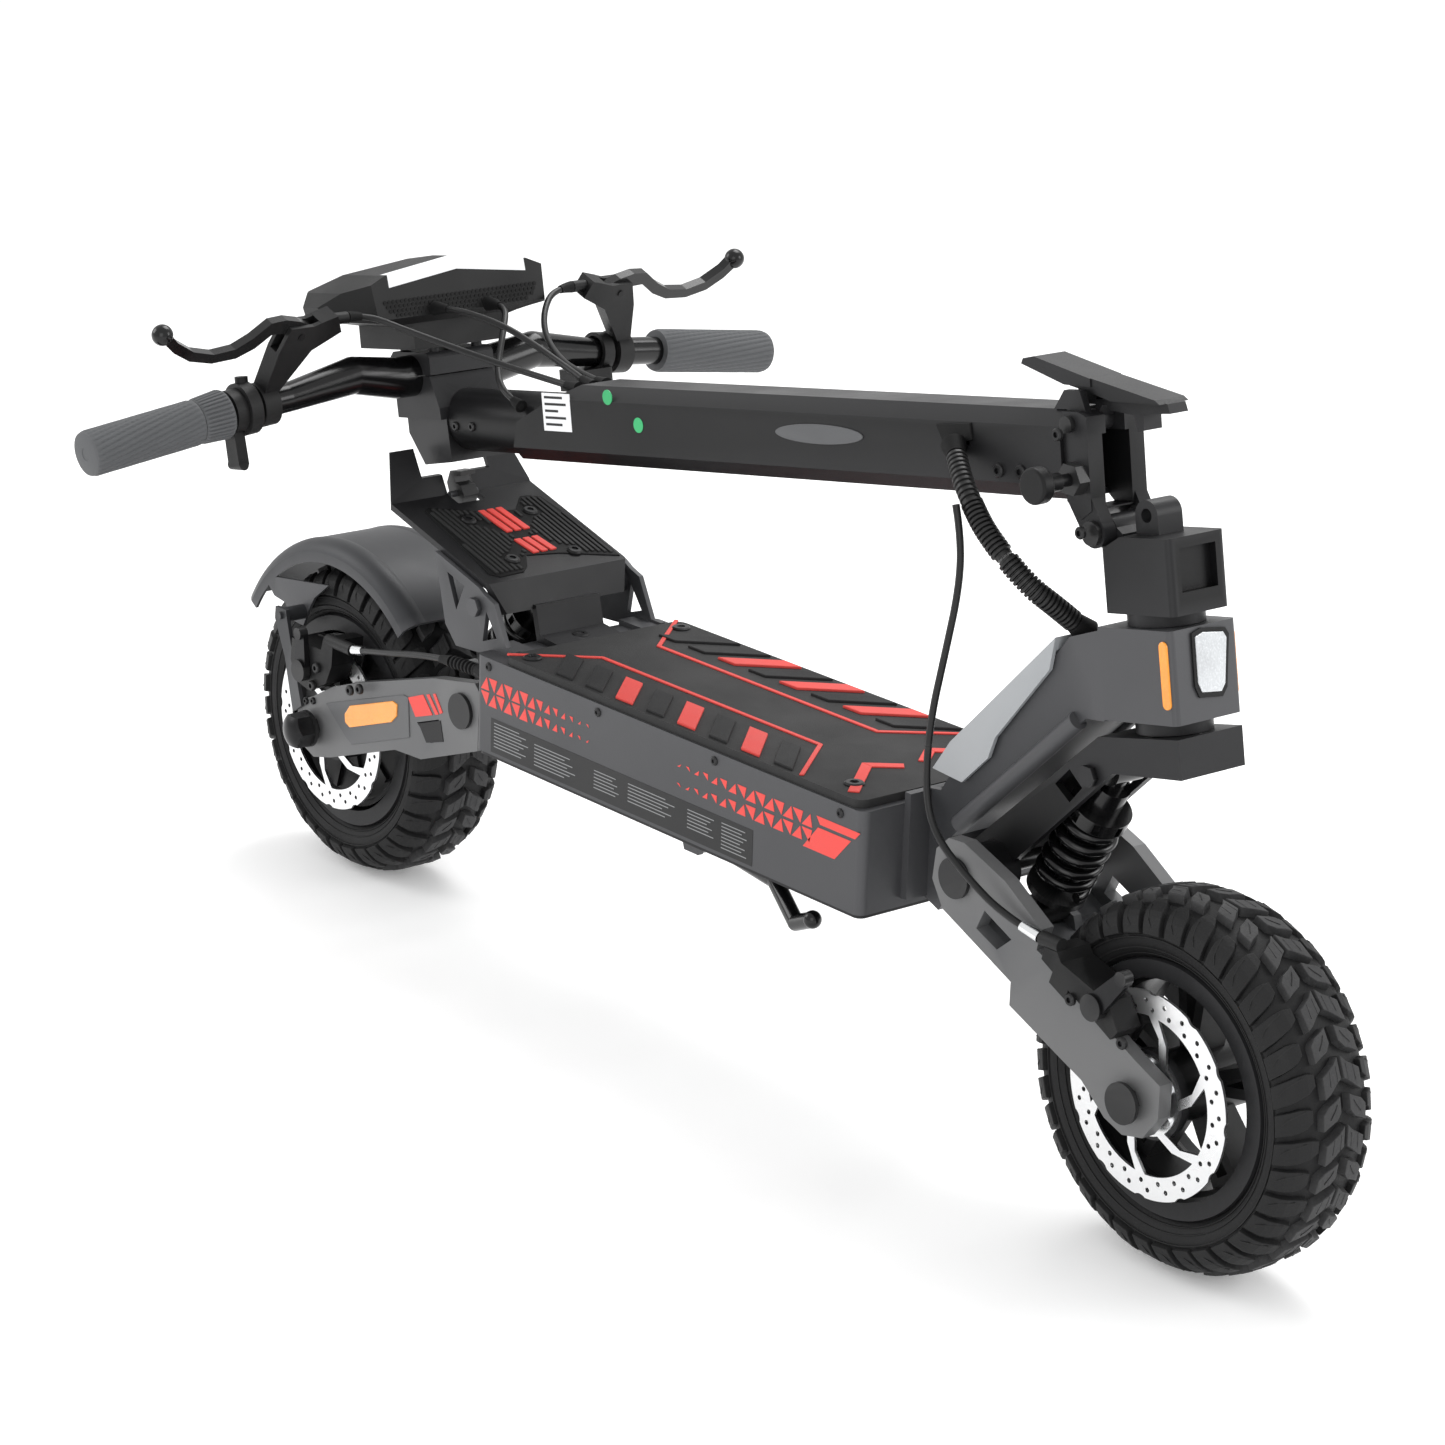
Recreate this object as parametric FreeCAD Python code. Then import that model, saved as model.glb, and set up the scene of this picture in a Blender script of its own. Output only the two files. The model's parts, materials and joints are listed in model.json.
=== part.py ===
import FreeCAD, Part
import math
import os

# Folding electric kick scooter, drawn folded down, as it stands on its own two wheels.
# Millimetres. +X points to the front wheel, +Y to the rider's left, +Z up, and the ground is z = 0.
# The origin is on the ground halfway between the wheels, the bottom centre of the bounding box.

# ---- driving dimensions ----
WHEELBASE = 928.6
TYRE_RADIUS = 127.5
TREAD_FLAT = 20.0              # half width of the flat crown
TYRE_HALF_WIDTH = 39.0
RIM_RADIUS = 80.0
ROTOR_RADIUS = 70.0
ROTOR_Y = -47.4              # both brake rotors are on the rider's right
ROTOR_THICKNESS = 2.0
ARM_INNER = 53.0             # swing arm plates lie between these two distances from the centre plane
ARM_OUTER = 64.0
LUG_HALF = 49.0              # half length of the pivot lugs between the arm plates
AXLE_RADIUS = 6.0
PIN_RADIUS = 6.0
RUNNING_FIT = 0.05

DECK_REAR, DECK_FRONT = -216.6, 222.9
DECK_HALF_WIDTH = 85.0
DECK_BOTTOM, DECK_TOP = 182.0, 256.0
DECK_WALL = 4.0
MAT_THICKNESS = 6.0
MAT_REAR = -184.0            # the foot plate's brackets stand behind the mat

RAKE = math.radians(11.0)    # the steering axis leans back at the top
AXIS_X, AXIS_Z = 412.7, 400.0
HEAD_LOW, HEAD_HIGH = -39.0, 21.4       # head tube, along the steering axis
HEAD_HALF_WIDTH = 29.5
CROWN_LOW, CROWN_HIGH = -73.6, -47.7    # fork crown, along the steering axis
BASE_LOW, BASE_HIGH = 29.7, 79.0        # stem base, along the steering axis
STEERER_RADIUS = 15.0

HINGE_X, HINGE_Z = 363.0, 472.6         # fold hinge of the stem
FOLD_SLOPE = math.radians(9.6)          # the folded stem falls towards its rear end
STEM_CENTRE = 48.5           # height of the stem tube's centre line over the hinge
STEM_HALF_HEIGHT = 29.0
POST_CENTRE = 44.0           # height of the round post's centre line over the hinge
STEM_HALF_WIDTH = 28.0
STEM_FRONT, STEM_REAR = 22.0, 560.0
POST_RADIUS, POST_END = 24.0, 722.0
BAR_S, BAR_N = 740.0, 80.0   # handlebar centre, in the stem's own coordinates
BAR_RADIUS, BAR_END_RADIUS = 15.9, 11.1
BAR_HALF_LENGTH = 319.6
GRIP_RADIUS = 17.5

FRONT_PIVOT = (293.8, 227.4)            # x, z of the front swing arm's pivot, on the fork
REAR_PIVOT = (-262.1, 195.0)            # x, z of the rear swing arm's pivot, on the deck
FRONT_SHOCK = ((314.0, 199.0), (377.7, 315.2))      # lower eye, upper eye
REAR_SHOCK = ((-312.0, 203.0), (-236.0, 285.0))
SPRING_RADIUS, SPRING_WIRE = 17.5, 3.6
FRONT_SPRING_TOP, REAR_SPRING_TOP = 88.0, 74.0       # along each shock, from its lower eye

LOOM_DIAMETER = 12.0
CABLE_DIAMETER = 5.0

V = FreeCAD.Vector
ALONG_Y = V(0, 1, 0)
STEM_ALONG = V(-math.cos(FOLD_SLOPE), 0, -math.sin(FOLD_SLOPE))
STEM_ABOVE = V(-math.sin(FOLD_SLOPE), 0, math.cos(FOLD_SLOPE))
AXIS_UP = V(-math.sin(RAKE), 0, math.cos(RAKE))
AXIS_AHEAD = V(math.cos(RAKE), 0, math.sin(RAKE))
FRONT_WHEEL = V(WHEELBASE / 2, 0, TYRE_RADIUS)
REAR_WHEEL = V(-WHEELBASE / 2, 0, TYRE_RADIUS)
BOUNDS = FreeCAD.BoundBox()


# ---- drawing helpers ----
def export(name, shape):
    """Write one node and add it to the bounding box."""
    shape.exportStep(f"parts/{name}.step")
    BOUNDS.add(shape.optimalBoundingBox(False, False))


def stem(s, n, y=0.0):
    """A point at s along the folded stem from its hinge, n over the hinge and y to the left."""
    return V(HINGE_X, y, HINGE_Z) + STEM_ALONG * s + STEM_ABOVE * n


def steer(u, v, y=0.0):
    """A point at u up the steering axis, v ahead of it and y to the left."""
    return V(AXIS_X, y, AXIS_Z) + AXIS_UP * u + AXIS_AHEAD * v


def plane_points(mapping, pairs):
    return [mapping(a, b) for a, b in pairs]


def side(x, z, y=0.0):
    return V(x, y, z)


def plate(points, y0, y1):
    """A polygon drawn in a vertical plane along the scooter, extruded from y0 to y1."""
    placed = [V(p.x, y0, p.z) for p in points]
    return Part.Face(Part.makePolygon(placed + placed[:1])).extrude(V(0, y1 - y0, 0))


def pair(points, inner, outer):
    """The same plate on the rider's right and left."""
    return [plate(points, -outer, -inner), plate(points, inner, outer)]


def block(x0, x1, y0, y1, z0, z1):
    return Part.makeBox(x1 - x0, y1 - y0, z1 - z0, V(x0, y0, z0))


def rod(centre, direction, radius, start, end):
    """A cylinder on the line through centre, from start to end along direction."""
    unit = V(direction).normalize()
    return Part.makeCylinder(radius, end - start, centre + unit * start, unit)


def ring(centre, direction, outer, inner, start, end):
    return rod(centre, direction, outer, start, end).cut(rod(centre, direction, inner, start - 1, end + 1))


def fuse(*pieces):
    solid = pieces[0]
    for piece in pieces[1:]:
        solid = solid.fuse(piece)
    return solid.removeSplitter()


def cut(solid, *tools):
    for tool in tools:
        solid = solid.cut(tool)
    return solid.removeSplitter()


def group(pieces):
    return Part.Compound(list(pieces))


def round_edges(solid, radius, chosen):
    edges = [edge for edge in solid.Edges if chosen(edge)]
    return solid.makeFillet(radius, edges) if edges else solid


def runs_along(direction):
    def chosen(edge):
        tangent = edge.tangentAt(edge.FirstParameter)
        return isinstance(edge.Curve, Part.Line) and abs(tangent.dot(direction)) > 0.999
    return chosen


def polar(centre, radius, angle):
    """A point on a circle in a vertical plane along the scooter, angle from +X towards +Z."""
    turn = math.radians(angle)
    return centre + V(radius * math.cos(turn), 0, radius * math.sin(turn))


def revolved(centre, profile, degrees=360, start=0):
    """Turn a closed profile of (y, radius) lines and (via, to) arcs about the wheel's axle."""
    def place(y, radius):
        return V(centre.x + radius, y, centre.z)
    edges = []
    here = place(*profile[0])
    for step in profile[1:]:
        if isinstance(step[0], tuple):
            via, to = place(*step[0]), place(*step[1])
            edges.append(Part.Arc(here, via, to).toShape())
            here = to
        else:
            to = place(*step)
            edges.append(Part.LineSegment(here, to).toShape())
            here = to
    face = Part.Face(Part.Wire(edges))
    if start:
        face.rotate(centre, ALONG_Y, -start)
    return face.revolve(centre, -ALONG_Y, degrees)


def rounded_route(name, points, diameter):
    """Straight runs joined by tangent arcs, each as large as its two runs allow."""
    edges = []
    radii = []
    here = points[0]
    for before, corner, after in zip(points, points[1:], points[2:]):
        back = (before - corner).normalize()
        ahead = (after - corner).normalize()
        turn = math.pi - back.getAngle(ahead)
        reach = 0.45 * min((before - corner).Length, (after - corner).Length)
        radius = reach / math.tan(turn / 2)
        radii.append(round(radius / diameter, 1))
        enter, leave = corner + back * reach, corner + ahead * reach
        bisector = (back + ahead).normalize()
        centre = corner + bisector * math.hypot(reach, radius)
        edges.append(Part.LineSegment(here, enter).toShape())
        edges.append(Part.Arc(enter, centre - bisector * radius, leave).toShape())
        here = leave
    edges.append(Part.LineSegment(here, points[-1]).toShape())
    wire = Part.Wire(edges)
    print(name, "length", round(wire.Length, 1), "arc radii in diameters", radii)
    return wire


def cable(name, points, diameter):
    wire = rounded_route(name, points, diameter)
    start = Part.Circle(points[0], points[1] - points[0], diameter / 2).toShape()
    tube = wire.makePipeShell([Part.Wire(start)], True, False)
    expected = math.pi * diameter ** 2 / 4 * wire.Length
    print(name, "volume over section times length", round(tube.Volume / expected, 4))
    return tube


def chain(points, radii):
    """Cones and balls along a bent bar."""
    pieces = [Part.makeSphere(radii[1], points[1])]
    for index in range(len(points) - 1):
        start, end = points[index], points[index + 1]
        first, last = radii[index], radii[index + 1]
        length = (end - start).Length
        if abs(first - last) < 1e-6:
            pieces.append(Part.makeCylinder(first, length, start, end - start))
        else:
            pieces.append(Part.makeCone(first, last, length, start, end - start))
        if index > 1:
            pieces.append(Part.makeSphere(first, start))
    return fuse(*pieces)


def hexagon(centre, direction, across_flats, start, end):
    unit = V(direction).normalize()
    helper = V(0, 0, 1) if abs(unit.z) < 0.9 else V(1, 0, 0)
    first = unit.cross(helper).normalize()
    second = unit.cross(first)
    reach = across_flats / math.sqrt(3)
    corners = []
    for index in range(6):
        turn = math.radians(60 * index)
        spoke = first * reach * math.cos(turn) + second * reach * math.sin(turn)
        corners.append(centre + unit * start + spoke)
    return Part.Face(Part.makePolygon(corners + corners[:1])).extrude(unit * (end - start))


def domed_cap(centre, outward, radius, start, end):
    """A hexagonal cap on a bolt's end: a wide base and a narrower domed head."""
    base = rod(centre, outward, radius, start, start + 3)
    head = hexagon(centre, outward, 2 * radius - 5, start + 3, end)
    dome = Part.makeSphere(radius * 1.5, centre + V(outward) * (end - radius * 1.5))
    return fuse(base, head.common(dome.fuse(rod(centre, outward, radius, start, end - 5))))


# ---- wheels ----
def tyre(centre):
    half = TYRE_HALF_WIDTH
    profile = [
        (-22, RIM_RADIUS), (-28, RIM_RADIUS), (-29.5, 88), ((-half, 106), (-33, 120)),
        ((-28, 125.2), (-TREAD_FLAT, TYRE_RADIUS)), (TREAD_FLAT, TYRE_RADIUS), ((28, 125.2), (33, 120)),
        ((half, 106), (29.5, 88)), (28, RIM_RADIUS), (22, RIM_RADIUS),
        (22, 86), ((32, 104), (26, 113)), ((0, 118), (-26, 113)), ((-32, 104), (-22, 86)),
        (-22, RIM_RADIUS),
    ]
    return revolved(centre, profile)


def rim_barrel(centre):
    profile = [
        (-34, 74), (-34, 86), (-31, 87), (-29.8, RIM_RADIUS), (29.8, RIM_RADIUS), (31, 87), (34, 86),
        (34, 74), (24, 73), (18, 70), (-18, 70), (-24, 73), (-34, 74),
    ]
    return revolved(centre, profile)


HUB_RADIUS = 24.0
HUB_BEARING = 14.0
SPOKES = 5


def front_rim(centre):
    hub = rod(centre, ALONG_Y, HUB_RADIUS, -40, 44)
    flange = rod(centre, ALONG_Y, 30, -46.4, -40)
    pieces = [rim_barrel(centre), hub, flange]
    for index in range(SPOKES):
        angle = 90 + 360 / SPOKES * index
        across = V(-math.sin(math.radians(angle)), 0, math.cos(math.radians(angle)))
        near, far = polar(centre, 18, angle), polar(centre, 73, angle)
        outline = [near - across * 7, far - across * 13, far + across * 13, near + across * 7]
        slot_near, slot_far = polar(centre, 36, angle), polar(centre, 64, angle)
        slot = [slot_near - across * 1.5, slot_far - across * 5, slot_far + across * 5,
                slot_near + across * 1.5]
        pieces.append(plate(outline, -13, 13).cut(plate(slot, -14, 14)))
    wheel = fuse(*pieces)
    bearings = [rod(centre, ALONG_Y, HUB_BEARING, 35, 45), rod(centre, ALONG_Y, HUB_BEARING, -47, -37)]
    return cut(wheel, rod(centre, ALONG_Y, AXLE_RADIUS + 2, -50, 50), *bearings)


def motor_hub(centre):
    drum = revolved(centre, [
        (-27, 16), (-27, 66), (-30, 71), (30, 71), (30, 64), (-21, 64), (-21, 16), (-27, 16),
    ])
    ribs = []
    for index in range(10):
        start = polar(centre, 24, 36 * index)
        end = polar(centre, 64, 36 * index)
        middle = (start + end) / 2
        bar = Part.makeBox(40, 3, 5, V(-20, 0, -2.5))
        bar.rotate(V(0, 0, 0), ALONG_Y, -36 * index)
        bar.translate(V(middle.x, -30, middle.z))
        ribs.append(bar)
    flange = rod(centre, ALONG_Y, 30, -46.4, -27)
    hollow = rod(centre, ALONG_Y, 16, -47, -20)
    return cut(fuse(rim_barrel(centre), drum, flange, *ribs), hollow)


def motor_stator(centre):
    """The wound core that is fixed to the rear axle inside the hub, and the hub's two bearings."""
    core = ring(centre, ALONG_Y, 58, AXLE_RADIUS, -17, 20)
    left = ring(centre, ALONG_Y, 16 - RUNNING_FIT, AXLE_RADIUS, 31, 45)
    right = ring(centre, ALONG_Y, 16 - RUNNING_FIT, AXLE_RADIUS, -46, -22)
    return [core, left, right]


def front_bearings(centre):
    outer = HUB_BEARING - RUNNING_FIT
    return [ring(centre, ALONG_Y, outer, AXLE_RADIUS, low, high) for low, high in ((35, 43), (-45, -37))]


def motor_cover(centre):
    ring_face = revolved(centre, [
        (30, 16), (30, 62), (24, 62), (24, 63.9), (34, 63.9), (39, 52), (41, 24), (46, 22), (46, 16),
        (30, 16),
    ])
    return ring_face


def brake_rotor(centre):
    low = ROTOR_Y - ROTOR_THICKNESS / 2
    high = ROTOR_Y + ROTOR_THICKNESS / 2
    band = ring(centre, ALONG_Y, ROTOR_RADIUS, 54, low, high)
    hub = ring(centre, ALONG_Y, 27, 16.5, low, high)
    scallops = []
    for index in range(12):
        scallops.append(rod(polar(centre, ROTOR_RADIUS + 6.5, 30 * index), ALONG_Y, 8, low - 1, high + 1))
    holes = []
    for index in range(24):
        for radius in (58.5, 64.0):
            turn = 15 * index + (radius - 58.5)
            holes.append(rod(polar(centre, radius, turn), ALONG_Y, 1.7, low - 1, high + 1))
    arms = []
    for index in range(6):
        angle = 60 * index
        outline = [polar(centre, 25, angle - 8), polar(centre, 25, angle + 8), polar(centre, 42, angle + 20),
                   polar(centre, 55.5, angle + 34), polar(centre, 55.5, angle + 25),
                   polar(centre, 40, angle + 9)]
        arms.append(plate(outline, low, high))
    bolts = rotor_bolts(centre, 2.6)
    return cut(fuse(band, hub, *arms), *scallops, *holes, *bolts.Solids)


def rotor_bolts(centre, radius):
    """Six screws that hold a rotor to its hub, their heads outside."""
    screws = []
    for index in range(6):
        place = polar(centre, 22, 60 * index + 30)
        shank = rod(place, ALONG_Y, radius, ROTOR_Y - 1, -46.4)
        screws.append(shank.fuse(rod(place, ALONG_Y, 4.2, ROTOR_Y - 3.0, ROTOR_Y - 1)))
    return group(screws)


# ---- swing arms and axles ----
FRONT_ARM_OUTLINE = [
    (270.8, 220.0), (282.0, 202.0), (350.5, 172.0), (350.5, 155.5), (420.7, 126.7), (443.0, 108.5),
    (459.8, 102.5), (478.0, 106.5), (490.5, 123.5), (490.3, 146.5), (466.7, 156.5), (388.0, 195.5),
    (373.0, 201.5), (376.5, 216.5), (340.0, 239.0), (300.0, 253.5), (285.0, 252.5), (273.5, 242.0),
]
FRONT_ARM_WINDOW = [(322.6, 213.0), (349.2, 201.0), (336.0, 189.9), (315.4, 198.5)]
REAR_ARM_OUTLINE = [
    (-242.1, 168.0), (-315.6, 141.3), (-350.7, 139.5), (-440.0, 108.5), (-464.3, 102.5), (-482.5, 109.5),
    (-489.5, 127.5), (-482.5, 146.0), (-464.3, 153.5), (-436.3, 168.7), (-400.0, 181.5), (-300.0, 211.0),
    (-283.9, 214.0), (-246.0, 220.9), (-240.0, 215.0),
]
FRONT_BRIDGE = [
    (300.0, 197.0), (318.0, 187.0), (343.0, 181.0), (340.0, 171.0), (316.0, 178.0), (298.0, 188.0),
]
REAR_BRIDGE = [(-326.0, 186.0), (-300.0, 192.0), (-300.0, 158.0), (-326.0, 152.0)]
REAR_ARM_WINDOW = [(-321.4, 169.9), (-292.4, 179.9), (-288.6, 163.2), (-303.0, 158.1)]


def swing_arm(outline, window, bridge, pivot, axle, eye):
    """Two side plates, the bridge between them and the two ears that hold the shock's lower eye."""
    sides = pair(plane_points(side, outline), ARM_INNER, ARM_OUTER)
    ears = []
    middle_x = sum(x for x, z in bridge) / len(bridge)
    middle_z = sum(z for x, z in bridge) / len(bridge)
    web = [(eye[0] - 11, eye[1]), (eye[0] + 11, eye[1]), (middle_x + 11, middle_z), (middle_x - 11, middle_z)]
    for y0, y1 in ((-21, -14), (14, 21)):
        hub = rod(side(*eye), ALONG_Y, 12, y0, y1)
        ears.append(hub.fuse(plate(plane_points(side, web), y0, y1)))
    middle = plate(plane_points(side, bridge), -ARM_INNER, ARM_INNER)
    arm = fuse(*sides, middle, *ears)
    through = ARM_OUTER + 5
    return cut(
        arm, plate(plane_points(side, window), -through, through),
        rod(side(*pivot), ALONG_Y, PIN_RADIUS + RUNNING_FIT, -through, through),
        rod(axle, ALONG_Y, AXLE_RADIUS + RUNNING_FIT, -through, through),
        rod(side(*eye), ALONG_Y, 4 + RUNNING_FIT, -30, 30),
        rod(side(*eye), ALONG_Y, 12.5, -14, 14),
    )


def axle_set(centre):
    shaft = rod(centre, ALONG_Y, AXLE_RADIUS, -69, 69)
    pieces = [shaft]
    for low, high in ((-69, -64), (64, 69)):
        pieces.append(hexagon(centre, ALONG_Y, 17, low, high).cut(shaft))
    for low, high in ((-53, -50.5), (49, 53)):
        pieces.append(ring(centre, ALONG_Y, 10, AXLE_RADIUS, low, high))
    return pieces


def hex_caps(centre, start, end, radius):
    return group([domed_cap(centre, V(0, way, 0), radius, start, end) for way in (-1, 1)])


# ---- shocks ----
def shock_frame(ends):
    lower, upper = side(*ends[0]), side(*ends[1])
    return lower, upper, (upper - lower).normalize(), (upper - lower).Length


def shock_lower(ends):
    """The lower eye, the rod and the cup that the spring stands on."""
    lower, upper, along, length = shock_frame(ends)
    eye = rod(lower, ALONG_Y, 11, -13, 13)
    cup = rod(lower, along, 21, 18, 23)
    neck = rod(lower, along, 8, 4, 19)
    shaft = rod(lower, along, 5, 20, length - 38)
    return cut(fuse(eye, neck, cup, shaft), rod(lower, ALONG_Y, 4 + RUNNING_FIT, -20, 20))


def shock_upper(ends, spring_top):
    """The upper eye, the damper tube and the threaded collar that holds the spring."""
    lower, upper, along, length = shock_frame(ends)
    eye = rod(upper, ALONG_Y, 10, -13, 13)
    neck = rod(lower, along, 7, length - 20, length - 4)
    tube = rod(lower, along, 12.5, 46, length - 16)
    collar = rod(lower, along, 21.5, spring_top, spring_top + 10)
    notches = []
    for index in range(8):
        notch = Part.makeBox(6, 5, 8, V(18.5, -2.5, 0))
        notch.rotate(V(0, 0, 0), V(0, 0, 1), 45 * index)
        notch.Placement = FreeCAD.Placement(lower + along * (spring_top + 1),
                                            FreeCAD.Rotation(V(0, 0, 1), along)).multiply(notch.Placement)
        notches.append(notch)
    bore = rod(lower, along, 8, 40, length - 26)
    return cut(fuse(eye, neck, tube, collar), *notches, bore, rod(upper, ALONG_Y, 4 + RUNNING_FIT, -20, 20))


def coil_spring(ends, spring_top, turns):
    """An open coil between the cup and the collar."""
    lower, upper, along, length = shock_frame(ends)
    start = 23 + SPRING_WIRE + 0.3
    end = spring_top - SPRING_WIRE - 0.3
    helix = Part.makeHelix((end - start) / turns, end - start, SPRING_RADIUS)
    section = Part.Circle(V(SPRING_RADIUS, 0, 0), V(0, 1, 0), SPRING_WIRE).toShape()
    coil = Part.Wire(helix.Edges).makePipeShell([Part.Wire(section)], True, True)
    coil.Placement = FreeCAD.Placement(lower + along * start, FreeCAD.Rotation(V(0, 0, 1), along))
    return coil


def eye_bolts(ends, lower_half, upper_half):
    bolts = []
    for end, half in zip(ends, (lower_half, upper_half)):
        bolts.append(fuse(rod(side(*end), ALONG_Y, 4, -half, half),
                          hexagon(side(*end), ALONG_Y, 13, -half - 4, -half),
                          hexagon(side(*end), ALONG_Y, 13, half, half + 4)))
    return bolts


# ---- frame ----
def deck_box():
    body = block(DECK_REAR, DECK_FRONT, -DECK_HALF_WIDTH, DECK_HALF_WIDTH, DECK_BOTTOM, DECK_TOP)
    body = round_edges(body, 7, runs_along(V(0, 0, 1)))
    hollow = block(DECK_REAR + DECK_WALL, DECK_FRONT - DECK_WALL, -DECK_HALF_WIDTH + DECK_WALL,
                   DECK_HALF_WIDTH - DECK_WALL, DECK_BOTTOM - 1, DECK_TOP - DECK_WALL)
    pivot = side(*REAR_PIVOT)
    web = [(REAR_PIVOT[0], REAR_PIVOT[1] - 19), (REAR_PIVOT[0], REAR_PIVOT[1] + 19),
           (DECK_REAR + 1, REAR_PIVOT[1] + 42), (DECK_REAR + 1, DECK_BOTTOM + 2)]
    lug = fuse(rod(pivot, ALONG_Y, 19, -LUG_HALF, LUG_HALF),
               plate(plane_points(side, web), -LUG_HALF, LUG_HALF))
    clearance = block(-300, DECK_REAR, -26, 26, 208, 260)
    return cut(fuse(body, lug).cut(hollow), clearance,
               rod(pivot, ALONG_Y, PIN_RADIUS + RUNNING_FIT, -60, 60))


def deck_mat():
    mat = block(MAT_REAR, DECK_FRONT - 6, -DECK_HALF_WIDTH + 2, DECK_HALF_WIDTH - 2,
                DECK_TOP, DECK_TOP + MAT_THICKNESS)
    return round_edges(mat, 9, runs_along(V(0, 0, 1)))


def deck_bottom_cover():
    cover = block(DECK_REAR + 2, DECK_FRONT - 2, -DECK_HALF_WIDTH + 2, DECK_HALF_WIDTH - 2,
                  DECK_BOTTOM - 3, DECK_BOTTOM)
    lip = block(DECK_REAR + DECK_WALL + 0.5, DECK_FRONT - DECK_WALL - 0.5,
                -DECK_HALF_WIDTH + DECK_WALL + 0.5, DECK_HALF_WIDTH - DECK_WALL - 0.5,
                DECK_BOTTOM, DECK_BOTTOM + 3)
    return fuse(round_edges(cover, 6, runs_along(V(0, 0, 1))), lip)


def battery_pack():
    pack = block(-195, 110, -72, 72, DECK_BOTTOM + 4, DECK_TOP - 9)
    return round_edges(pack, 6, runs_along(V(1, 0, 0)))


def motor_controller():
    case = block(122, 208, -50, 50, DECK_BOTTOM + 5, DECK_BOTTOM + 45)
    fins = [block(122, 208, -46 + 12 * index, -40 + 12 * index, DECK_BOTTOM + 44, DECK_BOTTOM + 54)
            for index in range(8)]
    return fuse(case, *fins)


NECK_OUTLINE = [
    (DECK_FRONT, 188.0), (241.0, 181.0), (248.0, 190.0), (250.0, 236.0), (371.0, 352.0), (392.0, 355.0),
    (381.0, 414.0), (352.0, 402.0), (332.0, 376.5), (252.0, 288.0), (238.0, 266.0), (DECK_FRONT, 264.0),
]


def neck_frame():
    """Two cheek plates from the deck's front wall to the head tube, joined by a web and a foot."""
    cheeks = pair(plane_points(side, NECK_OUTLINE), 24.0, HEAD_HALF_WIDTH)
    web = [(250.0, 236.0), (371.0, 352.0), (367.5, 355.5), (246.0, 240.0)]
    spine = plate(plane_points(side, web), -24, 24)
    foot = block(DECK_FRONT, DECK_FRONT + 6, -48, 48, 188, 264)
    bars = []
    low, high = V(258.0, 0, 247.5), V(364.0, 0, 349.0)
    for y in (-29.5, 29.5):
        start, end = V(low.x, y, low.z), V(high.x, y, high.z)
        bars.append(Part.makeCylinder(6.5, (end - start).Length, start, end - start))
    behind_head = [steer(-70, -33), steer(-70, 60), steer(40, 60), steer(40, -33)]
    return cut(fuse(*cheeks, spine, foot, *bars), plate(behind_head, -60, 60))


def head_tube():
    outline = [steer(HEAD_LOW, -33), steer(HEAD_LOW, 32), steer(HEAD_HIGH, 32), steer(HEAD_HIGH, -33)]
    body = plate(outline, -HEAD_HALF_WIDTH, HEAD_HALF_WIDTH)
    body = round_edges(body, 4, lambda edge: runs_along(AXIS_UP)(edge) and edge.CenterOfMass.x > AXIS_X)
    lower_seat = rod(steer(0, 0), AXIS_UP, 21, HEAD_LOW - 1, HEAD_LOW + 9)
    upper_seat = rod(steer(0, 0), AXIS_UP, 21, HEAD_HIGH - 9, HEAD_HIGH + 1)
    return cut(body, rod(steer(0, 0), AXIS_UP, 17, -80, 80), lower_seat, upper_seat)


def headset_bearings():
    inner = STEERER_RADIUS + RUNNING_FIT
    return group([ring(steer(0, 0), AXIS_UP, 21, inner, HEAD_LOW, HEAD_LOW + 9),
                  ring(steer(0, 0), AXIS_UP, 21, inner, HEAD_HIGH - 9, HEAD_HIGH)])


COVER_OUTLINE = [
    (343.0, 400.0), (339.0, 377.0), (292.0, 318.5), (286.0, 302.5), (262.0, 279.0), (233.0, 281.0),
    (249.0, 304.0),
]


def neck_cover():
    """A thin saddle over the neck's upper edge."""
    shell = plate(plane_points(side, COVER_OUTLINE), -33.5, 33.5)
    inside = [(345.0, 394.5), (345.0, 340.0), (262.0, 270.0), (229.0, 275.0), (234.5, 281.0), (251.0, 300.0)]
    return cut(shell, plate(plane_points(side, inside), -30.5, 30.5))


# ---- raised foot plate over the rear shock ----
PLATE_FRONT, PLATE_REAR = (-229.0, 303.0), (-354.0, 337.0)
PLATE_HALF = 66.0


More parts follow.
